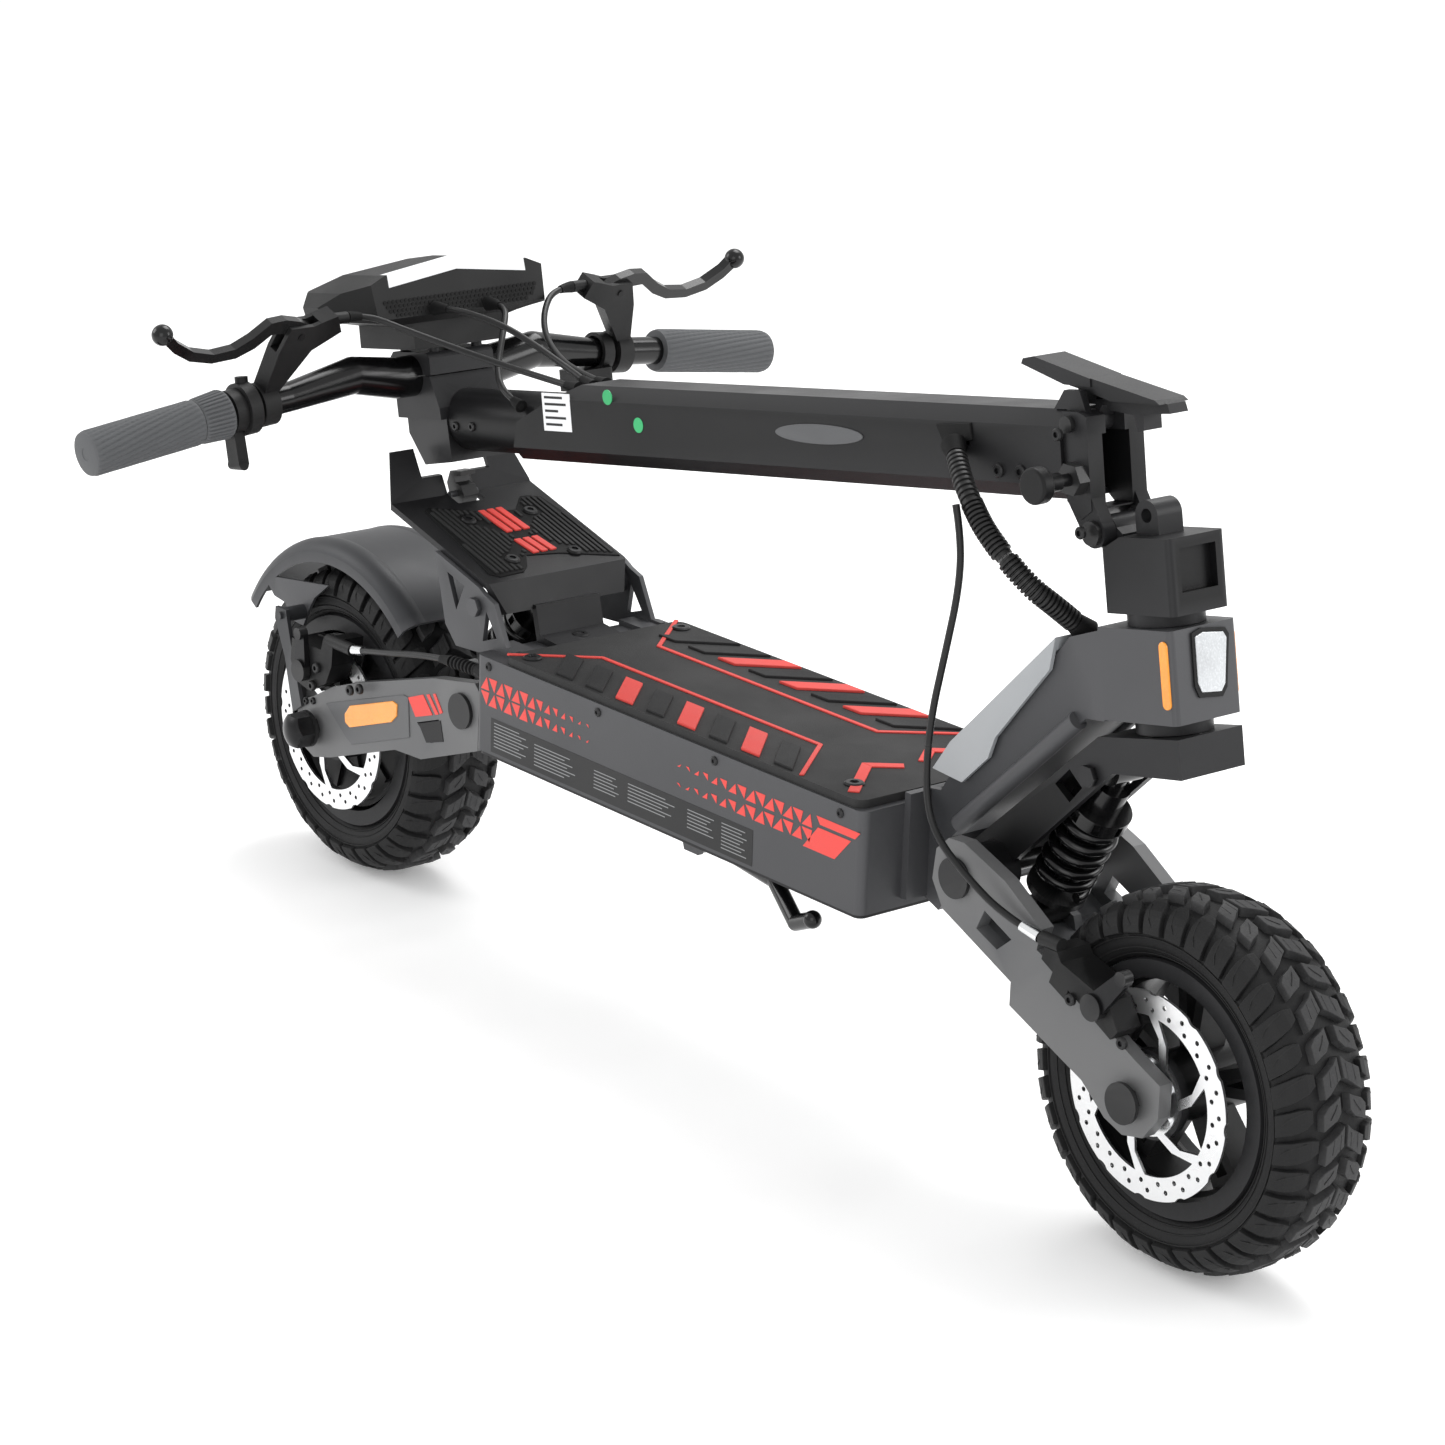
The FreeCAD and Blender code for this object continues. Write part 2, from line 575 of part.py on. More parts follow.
def foot_plate():
    front, rear = PLATE_FRONT, PLATE_REAR
    skin = [(front[0] + 11, 281.0), front, rear, (rear[0] - 20, 372.0), (rear[0] - 24, 370.5),
            (rear[0] - 2, rear[1] - 4.5), (front[0] - 2, front[1] - 4), (front[0] + 7.5, 280.0)]
    body = plate(plane_points(side, skin), -PLATE_HALF, PLATE_HALF)
    corners = []
    for way in (-1, 1):
        wedge = [V(front[0] - 2, way * PLATE_HALF, 200), V(front[0] + 30, way * PLATE_HALF, 200),
                 V(front[0] + 30, way * 40, 200)]
        corners.append(Part.Face(Part.makePolygon(wedge + wedge[:1])).extrude(V(0, 0, 200)))
        wedge = [V(rear[0] - 1, way * (PLATE_HALF + 1), 200), V(rear[0] - 60, way * (PLATE_HALF + 1), 200),
                 V(rear[0] - 60, way * 30, 200), V(rear[0] - 1, way * PLATE_HALF, 200)]
        corners.append(Part.Face(Part.makePolygon(wedge + wedge[:1])).extrude(V(0, 0, 300)))
    hook_slot = block(rear[0] - 40, rear[0] + 14, -13, 13, 320, 400)
    post_notch = block(rear[0] - 40, rear[0] + 14, -32, 32, 351, 400)
    tongue = plate([V(-222, 0, 284), V(-216, 0, 284), V(-210, 0, DECK_TOP + 6), V(-189, 0, DECK_TOP + 4),
                    V(-189, 0, DECK_TOP), V(-214, 0, DECK_TOP)], -30, 30)
    return fuse(cut(body, *corners, hook_slot, post_notch), tongue)


BRACKET_OUTLINE = [
    (-290.0, 315.5), (-234.5, 300.5), (-226.0, 296.0), (-214.0, 292.0), (-198.0, 262.0), (-186.0, 262.0),
    (-186.0, DECK_TOP), (-217.0, DECK_TOP), (-232.0, 250.0), (-262.0, 248.0), (-276.0, 262.0),
]
BRACKET_WINDOWS = [
    [(-274.0, 303.0), (-252.0, 297.0), (-262.0, 276.0)],
    [(-224.0, 284.0), (-210.0, 266.0), (-228.0, 260.0)],
]


def foot_plate_brackets():
    """Two side cheeks that stand on the deck's tail and carry the plate and the shock's upper bolt."""
    cheeks = pair(plane_points(side, BRACKET_OUTLINE), 66.5, 70.5)
    windows = [plate(plane_points(side, window), -80, 80) for window in BRACKET_WINDOWS]
    feet = [block(-217, -186, low, high, DECK_TOP, DECK_TOP + 4) for low, high in ((-70.5, -50), (50, 70.5))]
    tube = ring(side(*REAR_SHOCK[1]), ALONG_Y, 9, 4 + RUNNING_FIT, 15, 66.5)
    mirror = ring(side(*REAR_SHOCK[1]), ALONG_Y, 9, 4 + RUNNING_FIT, -66.5, -15)
    holes = rod(side(*REAR_SHOCK[1]), ALONG_Y, 4 + RUNNING_FIT, -90, 90)
    return [cut(fuse(cheeks[0], feet[0], mirror), windows[0], windows[1], holes),
            cut(fuse(cheeks[1], feet[1], tube), windows[0], windows[1], holes)]


HOOK_PIVOT = (-352.0, 337.5)


def stem_hook():
    """The spring hook on the foot plate that takes the folded stem's strap."""
    outline = [(-358.0, 330.0), (-345.0, 330.0), (-341.0, 338.0), (-346.0, 345.0), (-353.0, 346.0),
               (-354.0, 351.0), (-346.0, 353.0), (-346.0, 356.5), (-360.0, 354.0), (-364.0, 344.0)]
    hook = plate(plane_points(side, outline), -7, 7)
    return cut(hook, rod(side(*HOOK_PIVOT), ALONG_Y, 2.5 + RUNNING_FIT, -20, 20))


def hook_pin():
    return rod(side(*HOOK_PIVOT), ALONG_Y, 2.5, -13, 13)


# ---- steering parts ----
LEG_START = V(264.8, 0, 236.9)
LEG_ALONG = V(117.6, 0, 108.6).normalize()
LEG_BELOW = V(108.6, 0, -117.6).normalize()


CHANNEL_HALF = 22.5          # the shock stands between the channel's cheeks


def leg(along, below):
    """A point in the fork leg's own coordinates."""
    return LEG_START + LEG_ALONG * along + LEG_BELOW * below


def fork():
    """An upturned channel that runs back and down from the crown to the front arm's pivot."""
    outline = [
        steer(CROWN_HIGH, 31.5), steer(CROWN_LOW, 31.5), side(396.6, 321.6), side(303.4, 229.5), leg(0, 8),
        leg(6, 2), leg(158, 2),
    ]
    body = plate(outline, -28.7, 28.7)
    lugs = [rod(side(*FRONT_PIVOT), ALONG_Y, 18.5, low, high)
            for low, high in ((-LUG_HALF, -CHANNEL_HALF), (CHANNEL_HALF, LUG_HALF))]
    channel = plate([leg(-5, 6.5), leg(152, 6.5), leg(152, 45), leg(-5, 45)], -CHANNEL_HALF, CHANNEL_HALF)
    opening = [(345.5, 300.7), (358.0, 314.0), (370.5, 304.6), (359.8, 291.8)]
    window = plate(plane_points(side, opening), -40, 40)
    return cut(fuse(body, *lugs), channel, window,
               rod(steer(0, 0), AXIS_UP, STEERER_RADIUS, CROWN_LOW - 10, 0),
               rod(side(*FRONT_PIVOT), ALONG_Y, PIN_RADIUS + RUNNING_FIT, -60, 60),
               rod(side(*FRONT_SHOCK[1]), ALONG_Y, 4 + RUNNING_FIT, -40, 40))


LOCK_S, LOCK_N = 10.25, 34.93


def steerer_tube():
    return ring(steer(0, 0), AXIS_UP, STEERER_RADIUS, STEERER_RADIUS - 3, CROWN_LOW, 62)


def headset_covers():
    """Dust rings between the head tube and the parts that turn on it."""
    lower = ring(steer(0, 0), AXIS_UP, 25, STEERER_RADIUS, CROWN_HIGH, HEAD_LOW - 0.4)
    upper = ring(steer(0, 0), AXIS_UP, 25, STEERER_RADIUS, HEAD_HIGH + 0.4, BASE_LOW)
    return [lower, upper]


def stem_base():
    """The block on the steerer: the fold hinge's inner lug, the latch's window and the lock's eye."""
    outline = [steer(BASE_LOW, -30), steer(BASE_LOW, 32), steer(BASE_HIGH, 32), steer(BASE_HIGH, -11.5),
               steer(BASE_HIGH - 9, -30)]
    body = round_edges(plate(outline, -25, 25), 4, runs_along(AXIS_UP))
    hinge = side(HINGE_X, HINGE_Z)
    web = [hinge + AXIS_UP * 10, hinge - AXIS_AHEAD * 10, steer(50, -31), steer(50, -20),
           steer(BASE_HIGH, -20)]
    inner_lug = fuse(rod(hinge, ALONG_Y, 10, -13.5, 13.5), plate(web, -13.5, 13.5))
    eye = rod(steer(BASE_HIGH + 12, 0), ALONG_Y, 10, -11, 11)
    eye_foot = plate([steer(BASE_HIGH - 1, -10), steer(BASE_HIGH - 1, 10), steer(BASE_HIGH + 12, 10),
                      steer(BASE_HIGH + 12, -10)], -11, 11)
    window = plate([steer(44, 26), steer(44, 40), steer(72, 40), steer(72, 26)], -16, 16)
    ear_gaps = [rod(hinge, ALONG_Y, 10.8, low, high) for low, high in ((-26, -13.6), (13.6, 26))]
    return cut(fuse(body, inner_lug, eye, eye_foot), window, *ear_gaps,
               rod(steer(0, 0), AXIS_UP, STEERER_RADIUS, 0, 62),
               rod(hinge, ALONG_Y, 5 + RUNNING_FIT, -40, 40),
               rod(steer(BASE_HIGH + 12, 0), ALONG_Y, 4.6, -20, 20))


# ---- stem ----
def octagon(s, inset):
    """The stem tube's eight-sided section at s, shrunk by inset."""
    half_y, half_n, corner = STEM_HALF_WIDTH - inset, STEM_HALF_HEIGHT - inset, 10 - inset * 0.6
    outline = [(-half_y, -half_n + corner), (-half_y + corner, -half_n), (half_y - corner, -half_n),
               (half_y, -half_n + corner), (half_y, half_n - corner), (half_y - corner, half_n),
               (-half_y + corner, half_n), (-half_y, half_n - corner)]
    points = [stem(s, STEM_CENTRE + n, y) for y, n in outline]
    return Part.Face(Part.makePolygon(points + points[:1]))


def stem_tube():
    shell = octagon(STEM_FRONT, 0).extrude(STEM_ALONG * (STEM_REAR + 66 - STEM_FRONT))
    inside = octagon(STEM_FRONT - 1, 4).extrude(STEM_ALONG * (STEM_REAR - 18 - STEM_FRONT))
    low, high = STEM_CENTRE - STEM_HALF_HEIGHT - 1, STEM_CENTRE + STEM_HALF_HEIGHT + 2
    slant = [stem(STEM_REAR - 26, high), stem(STEM_REAR + 50, 49), stem(STEM_REAR + 60, low),
             stem(STEM_REAR + 90, low), stem(STEM_REAR + 90, high)]
    post = rod(stem(0, POST_CENTRE), STEM_ALONG, POST_RADIUS, STEM_REAR - 30, POST_END)
    bore = rod(stem(0, POST_CENTRE), STEM_ALONG, POST_RADIUS - 3, STEM_REAR - 60, POST_END + 1)
    grommet = plate([stem(108, 52), stem(108, 64), stem(134, 64), stem(134, 52)], -40, -20)
    mouth = plate([stem(STEM_REAR - 20, 70), stem(STEM_REAR + 10, 70), stem(STEM_REAR + 10, 90),
                   stem(STEM_REAR - 20, 90)], -18, 18)
    body = fuse(shell.cut(plate(slant, -60, 60)), post)
    return cut(body, inside, bore, grommet, mouth)


def hinge_casting():
    """The casting in the stem's end: two hinge ears, the latch's cheeks and the lock pin's bore."""
    outline = [stem(0, 14), stem(0, 74), stem(8, 77), stem(STEM_FRONT, 77), stem(STEM_FRONT, 19.5),
               stem(10, 8)]
    flange = plate(outline, -25, 25)
    plug = octagon(STEM_FRONT, 4.2).extrude(STEM_ALONG * 36)
    hinge = side(HINGE_X, HINGE_Z)
    ears = []
    for y0, y1 in ((-24.5, -14), (14, 24.5)):
        web = [stem(-9.4, 3), stem(0, 22), stem(20, 26), stem(21.9, 19.4), stem(6, -8)]
        ears.append(fuse(rod(hinge, ALONG_Y, 10, y0, y1), plate(web, y0, y1)))
    cheeks = pair([stem(4, 74), stem(10, 90), stem(24, 90), stem(34, 77.7), stem(21.9, 77.7), stem(21.9, 74)],
                  15, 20)
    pocket = plate([stem(-1, 15), stem(-1, 62), stem(26, 62), stem(26, 15)], -12, 12)
    lever_slot = plate([stem(-1, 62), stem(-1, 78), stem(40, 78), stem(40, 62)], -8.5, 8.5)
    hinge_gap = rod(hinge, ALONG_Y, 10.8, -13.9, 13.9)
    return cut(fuse(flange, plug, *ears, *cheeks), pocket, lever_slot, hinge_gap,
               rod(hinge, ALONG_Y, 5 + RUNNING_FIT, -40, 40),
               rod(stem(LOCK_S, LOCK_N), ALONG_Y, 4.2, -40, 0),
               rod(stem(LATCH_S, LATCH_N), ALONG_Y, 3 + RUNNING_FIT, -40, 40))


LATCH_S, LATCH_N = 15.6, 69.0


def latch_lever():
    """A rocking latch: a thumb tip over the stem and a nose that drops into the base's window."""
    pivot_boss = rod(stem(LATCH_S, LATCH_N), ALONG_Y, 7, -8, 8)
    spine = [stem(LATCH_S + 2, LATCH_N - 4), stem(LATCH_S - 6, LATCH_N + 2), stem(8, 83), stem(-30, 86),
             stem(-56, 82), stem(-58, 76), stem(-34, 75), stem(-34, 64.5), stem(-28, 63.5), stem(-26, 74),
             stem(-4, 76.5), stem(-1.5, 79.5), stem(2, 79.5), stem(LATCH_S, LATCH_N - 4)]
    core = plate(spine, -8, 8)
    wings = [stem(30, 102.5), stem(6, 97), stem(-8, 94), stem(-50, 84.8), stem(-54, 82), stem(-10, 83),
             stem(8, 88), stem(26, 92)]
    paddle = [stem(6, 91.5), stem(6, 97), stem(57, 110), stem(67, 108.5), stem(69, 105), stem(30, 92.5)]
    root = [stem(8, 80), stem(22, 80), stem(24, 94), stem(6, 94)]
    body = fuse(pivot_boss, core, plate(wings, -13, 13), plate(paddle, -14, 14), plate(root, -8, 8))
    return cut(body, rod(stem(LATCH_S, LATCH_N), ALONG_Y, 3 + RUNNING_FIT, -30, 30))


def latch_pin():
    return fuse(rod(stem(LATCH_S, LATCH_N), ALONG_Y, 3, -27, 27),
                rod(stem(LATCH_S, LATCH_N), ALONG_Y, 5.5, -29, -25.05),
                rod(stem(LATCH_S, LATCH_N), ALONG_Y, 5.5, 25.05, 29))


def hinge_pin():
    hinge = side(HINGE_X, HINGE_Z)
    return fuse(rod(hinge, ALONG_Y, 5, -26, 26), rod(hinge, ALONG_Y, 8, -28, -24.55),
                rod(hinge, ALONG_Y, 8, 24.55, 28))


def lock_knob():
    """The star knob on the rider's right. Parked out here, its pin slides in to lock the open hinge."""
    centre = stem(LOCK_S, LOCK_N)
    pin = rod(centre, ALONG_Y, 4.1, -46, -12)
    disc = round_edges(rod(centre, ALONG_Y, 12, -66, -56), 2, lambda edge: True)
    neck = rod(centre, ALONG_Y, 6, -57, -43)
    return fuse(pin, disc, neck)


def lock_nut():
    centre = stem(LOCK_S, LOCK_N)
    return cut(hexagon(centre, ALONG_Y, 19, -34, -25), rod(centre, ALONG_Y, 4.2, -60, 0))


# ---- handlebar group ----
def bar_point(y):
    """The handlebar's centre line: a low rise and then a sweep back to the grips."""
    size = abs(y)
    stations = [(0, BAR_S, BAR_N), (45, BAR_S, BAR_N), (85, BAR_S - 2, BAR_N + 7),
                (145, BAR_S - 1, BAR_N - 2.5), (200, BAR_S, BAR_N - 7.5),
                (BAR_HALF_LENGTH, BAR_S + 2, BAR_N - 22.4)]
    for (y0, s0, n0), (y1, s1, n1) in zip(stations, stations[1:]):
        if size <= y1:
            share = (size - y0) / (y1 - y0)
            return stem(s0 + (s1 - s0) * share, n0 + (n1 - n0) * share, y)
    return stem(stations[-1][1], stations[-1][2], y)


BAR_STATIONS = (45.0, 85.0, 145.0, 200.0, BAR_HALF_LENGTH - 3)
BAR_RADII = (BAR_RADIUS, BAR_RADIUS - 1.5, BAR_END_RADIUS, BAR_END_RADIUS, BAR_END_RADIUS)


def handlebar():
    halves = []
    for way in (-1, 1):
        points = [bar_point(way * y) for y in BAR_STATIONS]
        halves.append(chain([bar_point(0)] + points, (BAR_RADIUS,) + BAR_RADII))
    return fuse(*halves)


def bar_sleeve(way, y0, y1, outer, inner=BAR_END_RADIUS):
    """A tube on one straight stretch of the handlebar."""
    start, end = bar_point(way * y0), bar_point(way * y1)
    length = (end - start).Length
    body = Part.makeCylinder(outer, length, start, end - start)
    along = (end - start).normalize()
    return body.cut(Part.makeCylinder(inner, length + 40, start - along * 20, along))


def grip(way):
    sleeve = bar_sleeve(way, 206, BAR_HALF_LENGTH - 1, GRIP_RADIUS)
    collar = bar_sleeve(way, 201, 208, GRIP_RADIUS + 2)
    end = bar_point(way * (BAR_HALF_LENGTH - 3))
    along = (end - bar_point(way * 206)).normalize()
    plug = Part.makeCylinder(BAR_END_RADIUS + 1, 2.4, end, along)
    return fuse(sleeve, collar, plug)


LEVER_AHEAD = (STEM_ALONG * -40 + STEM_ABOVE * 73).normalize()     # from the bar towards the lever
LEVER_AXIS = (STEM_ALONG * 73 + STEM_ABOVE * 40).normalize()
LEVER_PIVOT_Y = 150.0
LEVER_PIVOT_REACH = 60.0


def lever_point(way, y, reach, lift=0.0):
    """A point in a brake lever's own plane, reach ahead of the bar."""
    base = bar_point(way * 168)
    return V(base.x, way * y, base.z) + LEVER_AHEAD * reach + LEVER_AXIS * lift


def lever_plate(way, outline, low, high):
    points = [lever_point(way, y, reach, low) for y, reach in outline]
    return Part.Face(Part.makePolygon(points + points[:1])).extrude(LEVER_AXIS * (high - low))


def lever_perch(way):
    """The clamp ring on the bar and the arm that carries the lever's pivot and the cable stop."""
    clamp = bar_sleeve(way, 160, 174, 17, BAR_END_RADIUS)
    neck = lever_plate(way, [(161, 13), (173, 13), (167, 48), (160, 68), (140, 68), (120, 74), (114, 60),
                             (138, 47)], -8, 8)
    slot = lever_plate(way, [(110, 53.5), (170, 47), (180, 78), (110, 82)], -4.2, 4.2)
    neck = neck.cut(slot).fuse(lever_plate(way, [(114, 60), (120, 74), (134, 70), (131, 51.5)], -8, 8))
    stop = rod(lever_point(way, 116, 67), V(0, -way, 0), 4.5, -2, 10)
    solid = fuse(clamp, neck, stop)
    return cut(solid, rod(lever_point(way, LEVER_PIVOT_Y, LEVER_PIVOT_REACH), LEVER_AXIS, 2.5 + RUNNING_FIT,
                          -20, 20))


def brake_lever(way):
    """A two-finger blade with a ball on its end."""
    blade = [(139, 66), (150, 71), (163, 74), (176, 73), (190, 62), (204, 54.5), (222, 52.5), (240, 57),
             (256, 67), (263, 75), (268, 68), (258, 58.5), (243, 49.5), (223, 45), (202, 46.5), (187, 53),
             (174, 63), (164, 62.5), (152, 53.5), (142, 54)]
    body = lever_plate(way, blade, -4, 4)
    ball = Part.makeSphere(8, lever_point(way, 268, 73))
    return cut(fuse(body, ball), rod(lever_point(way, LEVER_PIVOT_Y, LEVER_PIVOT_REACH), LEVER_AXIS,
                                     2.5 + RUNNING_FIT, -20, 20))


def lever_pin(way):
    centre = lever_point(way, LEVER_PIVOT_Y, LEVER_PIVOT_REACH)
    return fuse(rod(centre, LEVER_AXIS, 2.5, -9, 9), rod(centre, LEVER_AXIS, 4, 8.05, 10))


def throttle_housing():
    body = bar_sleeve(-1, 178, 188, 20)
    boss = rod(bar_point(-183) + STEM_ABOVE * 20, STEM_ABOVE, 5, -3, 4)
    return fuse(body, boss)


def throttle_lever():
    """A ring that turns on the bar with a thumb paddle that hangs behind it."""
    hoop = bar_sleeve(-1, 188.5, 198, 16.5, BAR_END_RADIUS + RUNNING_FIT)
    centre = bar_point(-193)
    outline = [(-6, -14), (-9, -40), (6, -42), (8, -14)]
    points = [centre + STEM_ALONG * a + STEM_ABOVE * b + V(0, 4.5, 0) for a, b in outline]
    arm = Part.Face(Part.makePolygon(points + points[:1])).extrude(V(0, -9, 0))
    paddle = rod(centre + STEM_ABOVE * -40, STEM_ALONG, 4, -9, 8)
    return cut(fuse(hoop, arm, paddle), bar_sleeve(-1, 186, 200, BAR_END_RADIUS + RUNNING_FIT, 2))


POD_Y = 138.0


def switch_pod():
    """The switch box under the left bar."""
    clamp = bar_sleeve(1, 145, 155, 16, BAR_END_RADIUS + 0.8)
    centre = bar_point(POD_Y - 2)
    outline = [(-17, -13), (17, -13), (17, -30), (-17, -30)]
    points = [centre + STEM_ALONG * a + STEM_ABOVE * b + V(0, -16, 0) for a, b in outline]
    box = Part.Face(Part.makePolygon(points + points[:1])).extrude(V(0, 32, 0))
    box = round_edges(box, 5, runs_along(STEM_ABOVE))
    button_well = rod(button_centre(), STEM_ABOVE, 6.1, -3, 6)
    inner = bar_sleeve(1, 120, 170, BAR_END_RADIUS + 1.2, 1)
    return cut(fuse(clamp, box), button_well, inner)


def button_centre():
    return bar_point(POD_Y - 2) + STEM_ABOVE * -30


def switch_button():
    return rod(button_centre(), STEM_ABOVE, 6, -3.5, 3)


def handlebar_clamp():
    """The casting on the post's end: it holds the post below and the bar in its upper cradle."""
    outline = [stem(702, 14), stem(742, 10), stem(762, 34), stem(764, BAR_N), stem(716, BAR_N),
               stem(706, 56)]
    body = plate(outline, -30, 30)
    post = rod(stem(0, POST_CENTRE), STEM_ALONG, POST_RADIUS, 600, POST_END)
    sides = []
    for way in (-1, 1):
        wedge = [stem(690, 5, way * 31), stem(790, 5, way * 31), stem(790, 5, way * 20),
                 stem(690, 5, way * 26)]
        sides.append(Part.Face(Part.makePolygon(wedge + wedge[:1])).extrude(STEM_ABOVE * 42))
    hollow = plate([stem(690, 52), stem(722, 52), stem(722, 63), stem(690, 63)], -14, 14)
    return cut(body, post, *sides, hollow, rod(bar_point(0), ALONG_Y, BAR_RADIUS, -60, 60),
               *clamp_bolt_rods(2.5 + RUNNING_FIT))


CAP_HEIGHT = 18.0


def handlebar_clamp_cap():
    top = BAR_N + CAP_HEIGHT
    outline = [stem(714, BAR_N + 1), stem(766, BAR_N + 1), stem(766, top - 4), stem(762, top),
               stem(718, top), stem(714, top - 4)]
    body = plate(outline, -30, 30)
    return cut(body, rod(bar_point(0), ALONG_Y, BAR_RADIUS, -60, 60), *clamp_bolt_rods(2.5 + RUNNING_FIT))


def clamp_bolt_places():
    return [(s, y) for s in (721.0, 759.0) for y in (-20.0, 20.0)]


def clamp_bolt_rods(radius):
    return [rod(stem(s, BAR_N, y), STEM_ABOVE, radius, -14, 30) for s, y in clamp_bolt_places()]


def handlebar_clamp_bolts():
    bolts = []
    for s, y in clamp_bolt_places():
        place = stem(s, BAR_N, y)
        bolts.append(rod(place, STEM_ABOVE, 2.5, -14, CAP_HEIGHT).fuse(
            rod(place, STEM_ABOVE, 4.2, CAP_HEIGHT, CAP_HEIGHT + 3)))
    return group(bolts)


HOUSING_BACK, HOUSING_FRONT = 706.0, 788.0
HOUSING_FACE = [
    (-102, 140), (-92, 150), (-66, 161), (0, 169.5), (66, 161), (92, 150), (102, 140), (97, 129), (66, 124),
    (42, 119), (42, 101.5), (-42, 101.5), (-42, 119), (-66, 124), (-97, 129),
]
HOUSING_PLAN = [
    (HOUSING_BACK, -78), (HOUSING_BACK, 78), (752, 102), (772, 102), (HOUSING_FRONT, 80),
    (HOUSING_FRONT, -80), (772, -102), (752, -102),
]
HOUSING_SIDE = [
    (HOUSING_BACK, 128), (711, 164), (722, 171), (758, 168), (HOUSING_FRONT, 146), (HOUSING_FRONT, 100),
    (714, 100), (714, 122),
]


def housing_body(inset):
    """The faceted housing: where its face, its plan and its side outline meet, all shrunk by inset."""
    def shrink(value, middle, half):
        return middle + (value - middle) * (half - inset) / half
    face = [stem(690, shrink(n, 135, 34), shrink(y, 0, 90)) for y, n in HOUSING_FACE]
    plan = [stem(shrink(s, 747, 41), 90, shrink(y, 0, 90)) for s, y in HOUSING_PLAN]
    profile = [stem(shrink(s, 747, 41), shrink(n, 135, 34)) for s, n in HOUSING_SIDE]
    body = Part.Face(Part.makePolygon(face + face[:1])).extrude(STEM_ALONG * 110)
    body = body.common(Part.Face(Part.makePolygon(plan + plan[:1])).extrude(STEM_ABOVE * 90))
    return body.common(plate(profile, -120, 120)).removeSplitter()


def light_strip():
    """The white light along the housing's upper front edge."""
    outline = [(-64, 151.5), (0, 159.5), (64, 151.5), (64, 176), (-64, 176)]
    points = [stem(HOUSING_BACK - 2, n, y) for y, n in outline]
    strip = Part.Face(Part.makePolygon(points + points[:1])).extrude(STEM_ALONG * 16)
    return strip.common(housing_body(0)).cut(housing_body(4)).removeSplitter()


def display_screen():
    """The small screen that faces the rider, in the housing's sloping back."""
    points = [stem(764, 120, -34), stem(764, 120, 34), stem(782, 120, 34), stem(782, 120, -34)]
    window = Part.Face(Part.makePolygon(points + points[:1])).extrude(STEM_ABOVE * 60)
    return window.common(housing_body(0)).cut(housing_body(3)).removeSplitter()


def display_board():
    points = [stem(s, 130, y) for s, y in ((724, -50), (724, 50), (774, 50), (774, -50))]
    return Part.Face(Part.makePolygon(points + points[:1])).extrude(STEM_ABOVE * 5)


def display_housing():
    return cut(housing_body(0), housing_body(4), light_strip(), display_screen())


# ---- brakes ----
CALIPER_INNER = -41.0        # clear of the tyre's flank


def front_caliper():
    body = [(384, 200), (386, 209), (398, 209), (402, 203), (446, 190), (456, 173), (450, 166)]
    lower = [(400, 196), (452, 170), (446, 158), (418, 166), (404, 180)]
    outer = plate(plane_points(side, body), -70, CALIPER_INNER)
    pads = plate(plane_points(side, lower), -52.4, CALIPER_INNER)
    slot = ring(FRONT_WHEEL, ALONG_Y, ROTOR_RADIUS + 2.5, 20, ROTOR_Y - 1.6, ROTOR_Y + 1.6)
    stop = rod(V(382, -66, 212.5), V(1, 0, 0), 5, -2, 16)
    tab = [(392, 186.5), (407, 179.5), (411, 190), (396, 198)]
    tabs = plate(plane_points(side, tab), -70, -ARM_OUTER)
    clear = plate(plane_points(side, FRONT_ARM_OUTLINE), -ARM_OUTER, -ARM_INNER)
    solid = fuse(outer, pads, tabs, stop)
    return cut(solid, slot, clear, rod(V(437, 0, 185), ALONG_Y, 3.5 + RUNNING_FIT, -80, -60))


def rear_caliper():
    body = [(-488, 180), (-486, 198), (-445, 198), (-441, 209), (-428, 209), (-430, 188), (-438, 172),
            (-462, 160), (-482, 164)]
    lower = [(-484, 182), (-444, 182), (-444, 164), (-484, 164)]
    outer = plate(plane_points(side, body), -70, CALIPER_INNER)
    pads = plate(plane_points(side, lower), -52.4, CALIPER_INNER)
    slot = ring(REAR_WHEEL, ALONG_Y, ROTOR_RADIUS + 2.5, 20, ROTOR_Y - 1.6, ROTOR_Y + 1.6)
    stop = rod(V(-420, -66, 207), V(1, 0, 0), 5, -20, 14)
    clear = plate(plane_points(side, REAR_ARM_OUTLINE), -ARM_OUTER, -ARM_INNER)
    solid = fuse(outer, pads, stop)
    return cut(solid, slot, clear, rod(V(-468, 0, 176), ALONG_Y, 3.5 + RUNNING_FIT, -80, -60))


def caliper_arm(pivot, tip):
    """The short lever on a caliper that the brake cable pulls."""
    base, end = V(pivot[0], -70.5, pivot[1]), V(tip[0], -70.5, tip[1])
    along = (end - base).normalize()
    across = V(-along.z, 0, along.x)
    outline = [base - across * 8, end - across * 5, end + across * 5, base + across * 8]
    arm = plate(outline, -75, -70.5)
    hub = rod(V(pivot[0], 0, pivot[1]), ALONG_Y, 9, -77, -70.5)
    shaft = rod(V(pivot[0], 0, pivot[1]), ALONG_Y, 3.5, -77, -62)
    clamp = rod(V(tip[0], 0, tip[1]), ALONG_Y, 5, -78, -70.5)
    return fuse(arm, hub, shaft, clamp)


# ---- rear fender ----
FENDER_BOLT = V(-506.0, 0, 211.0)


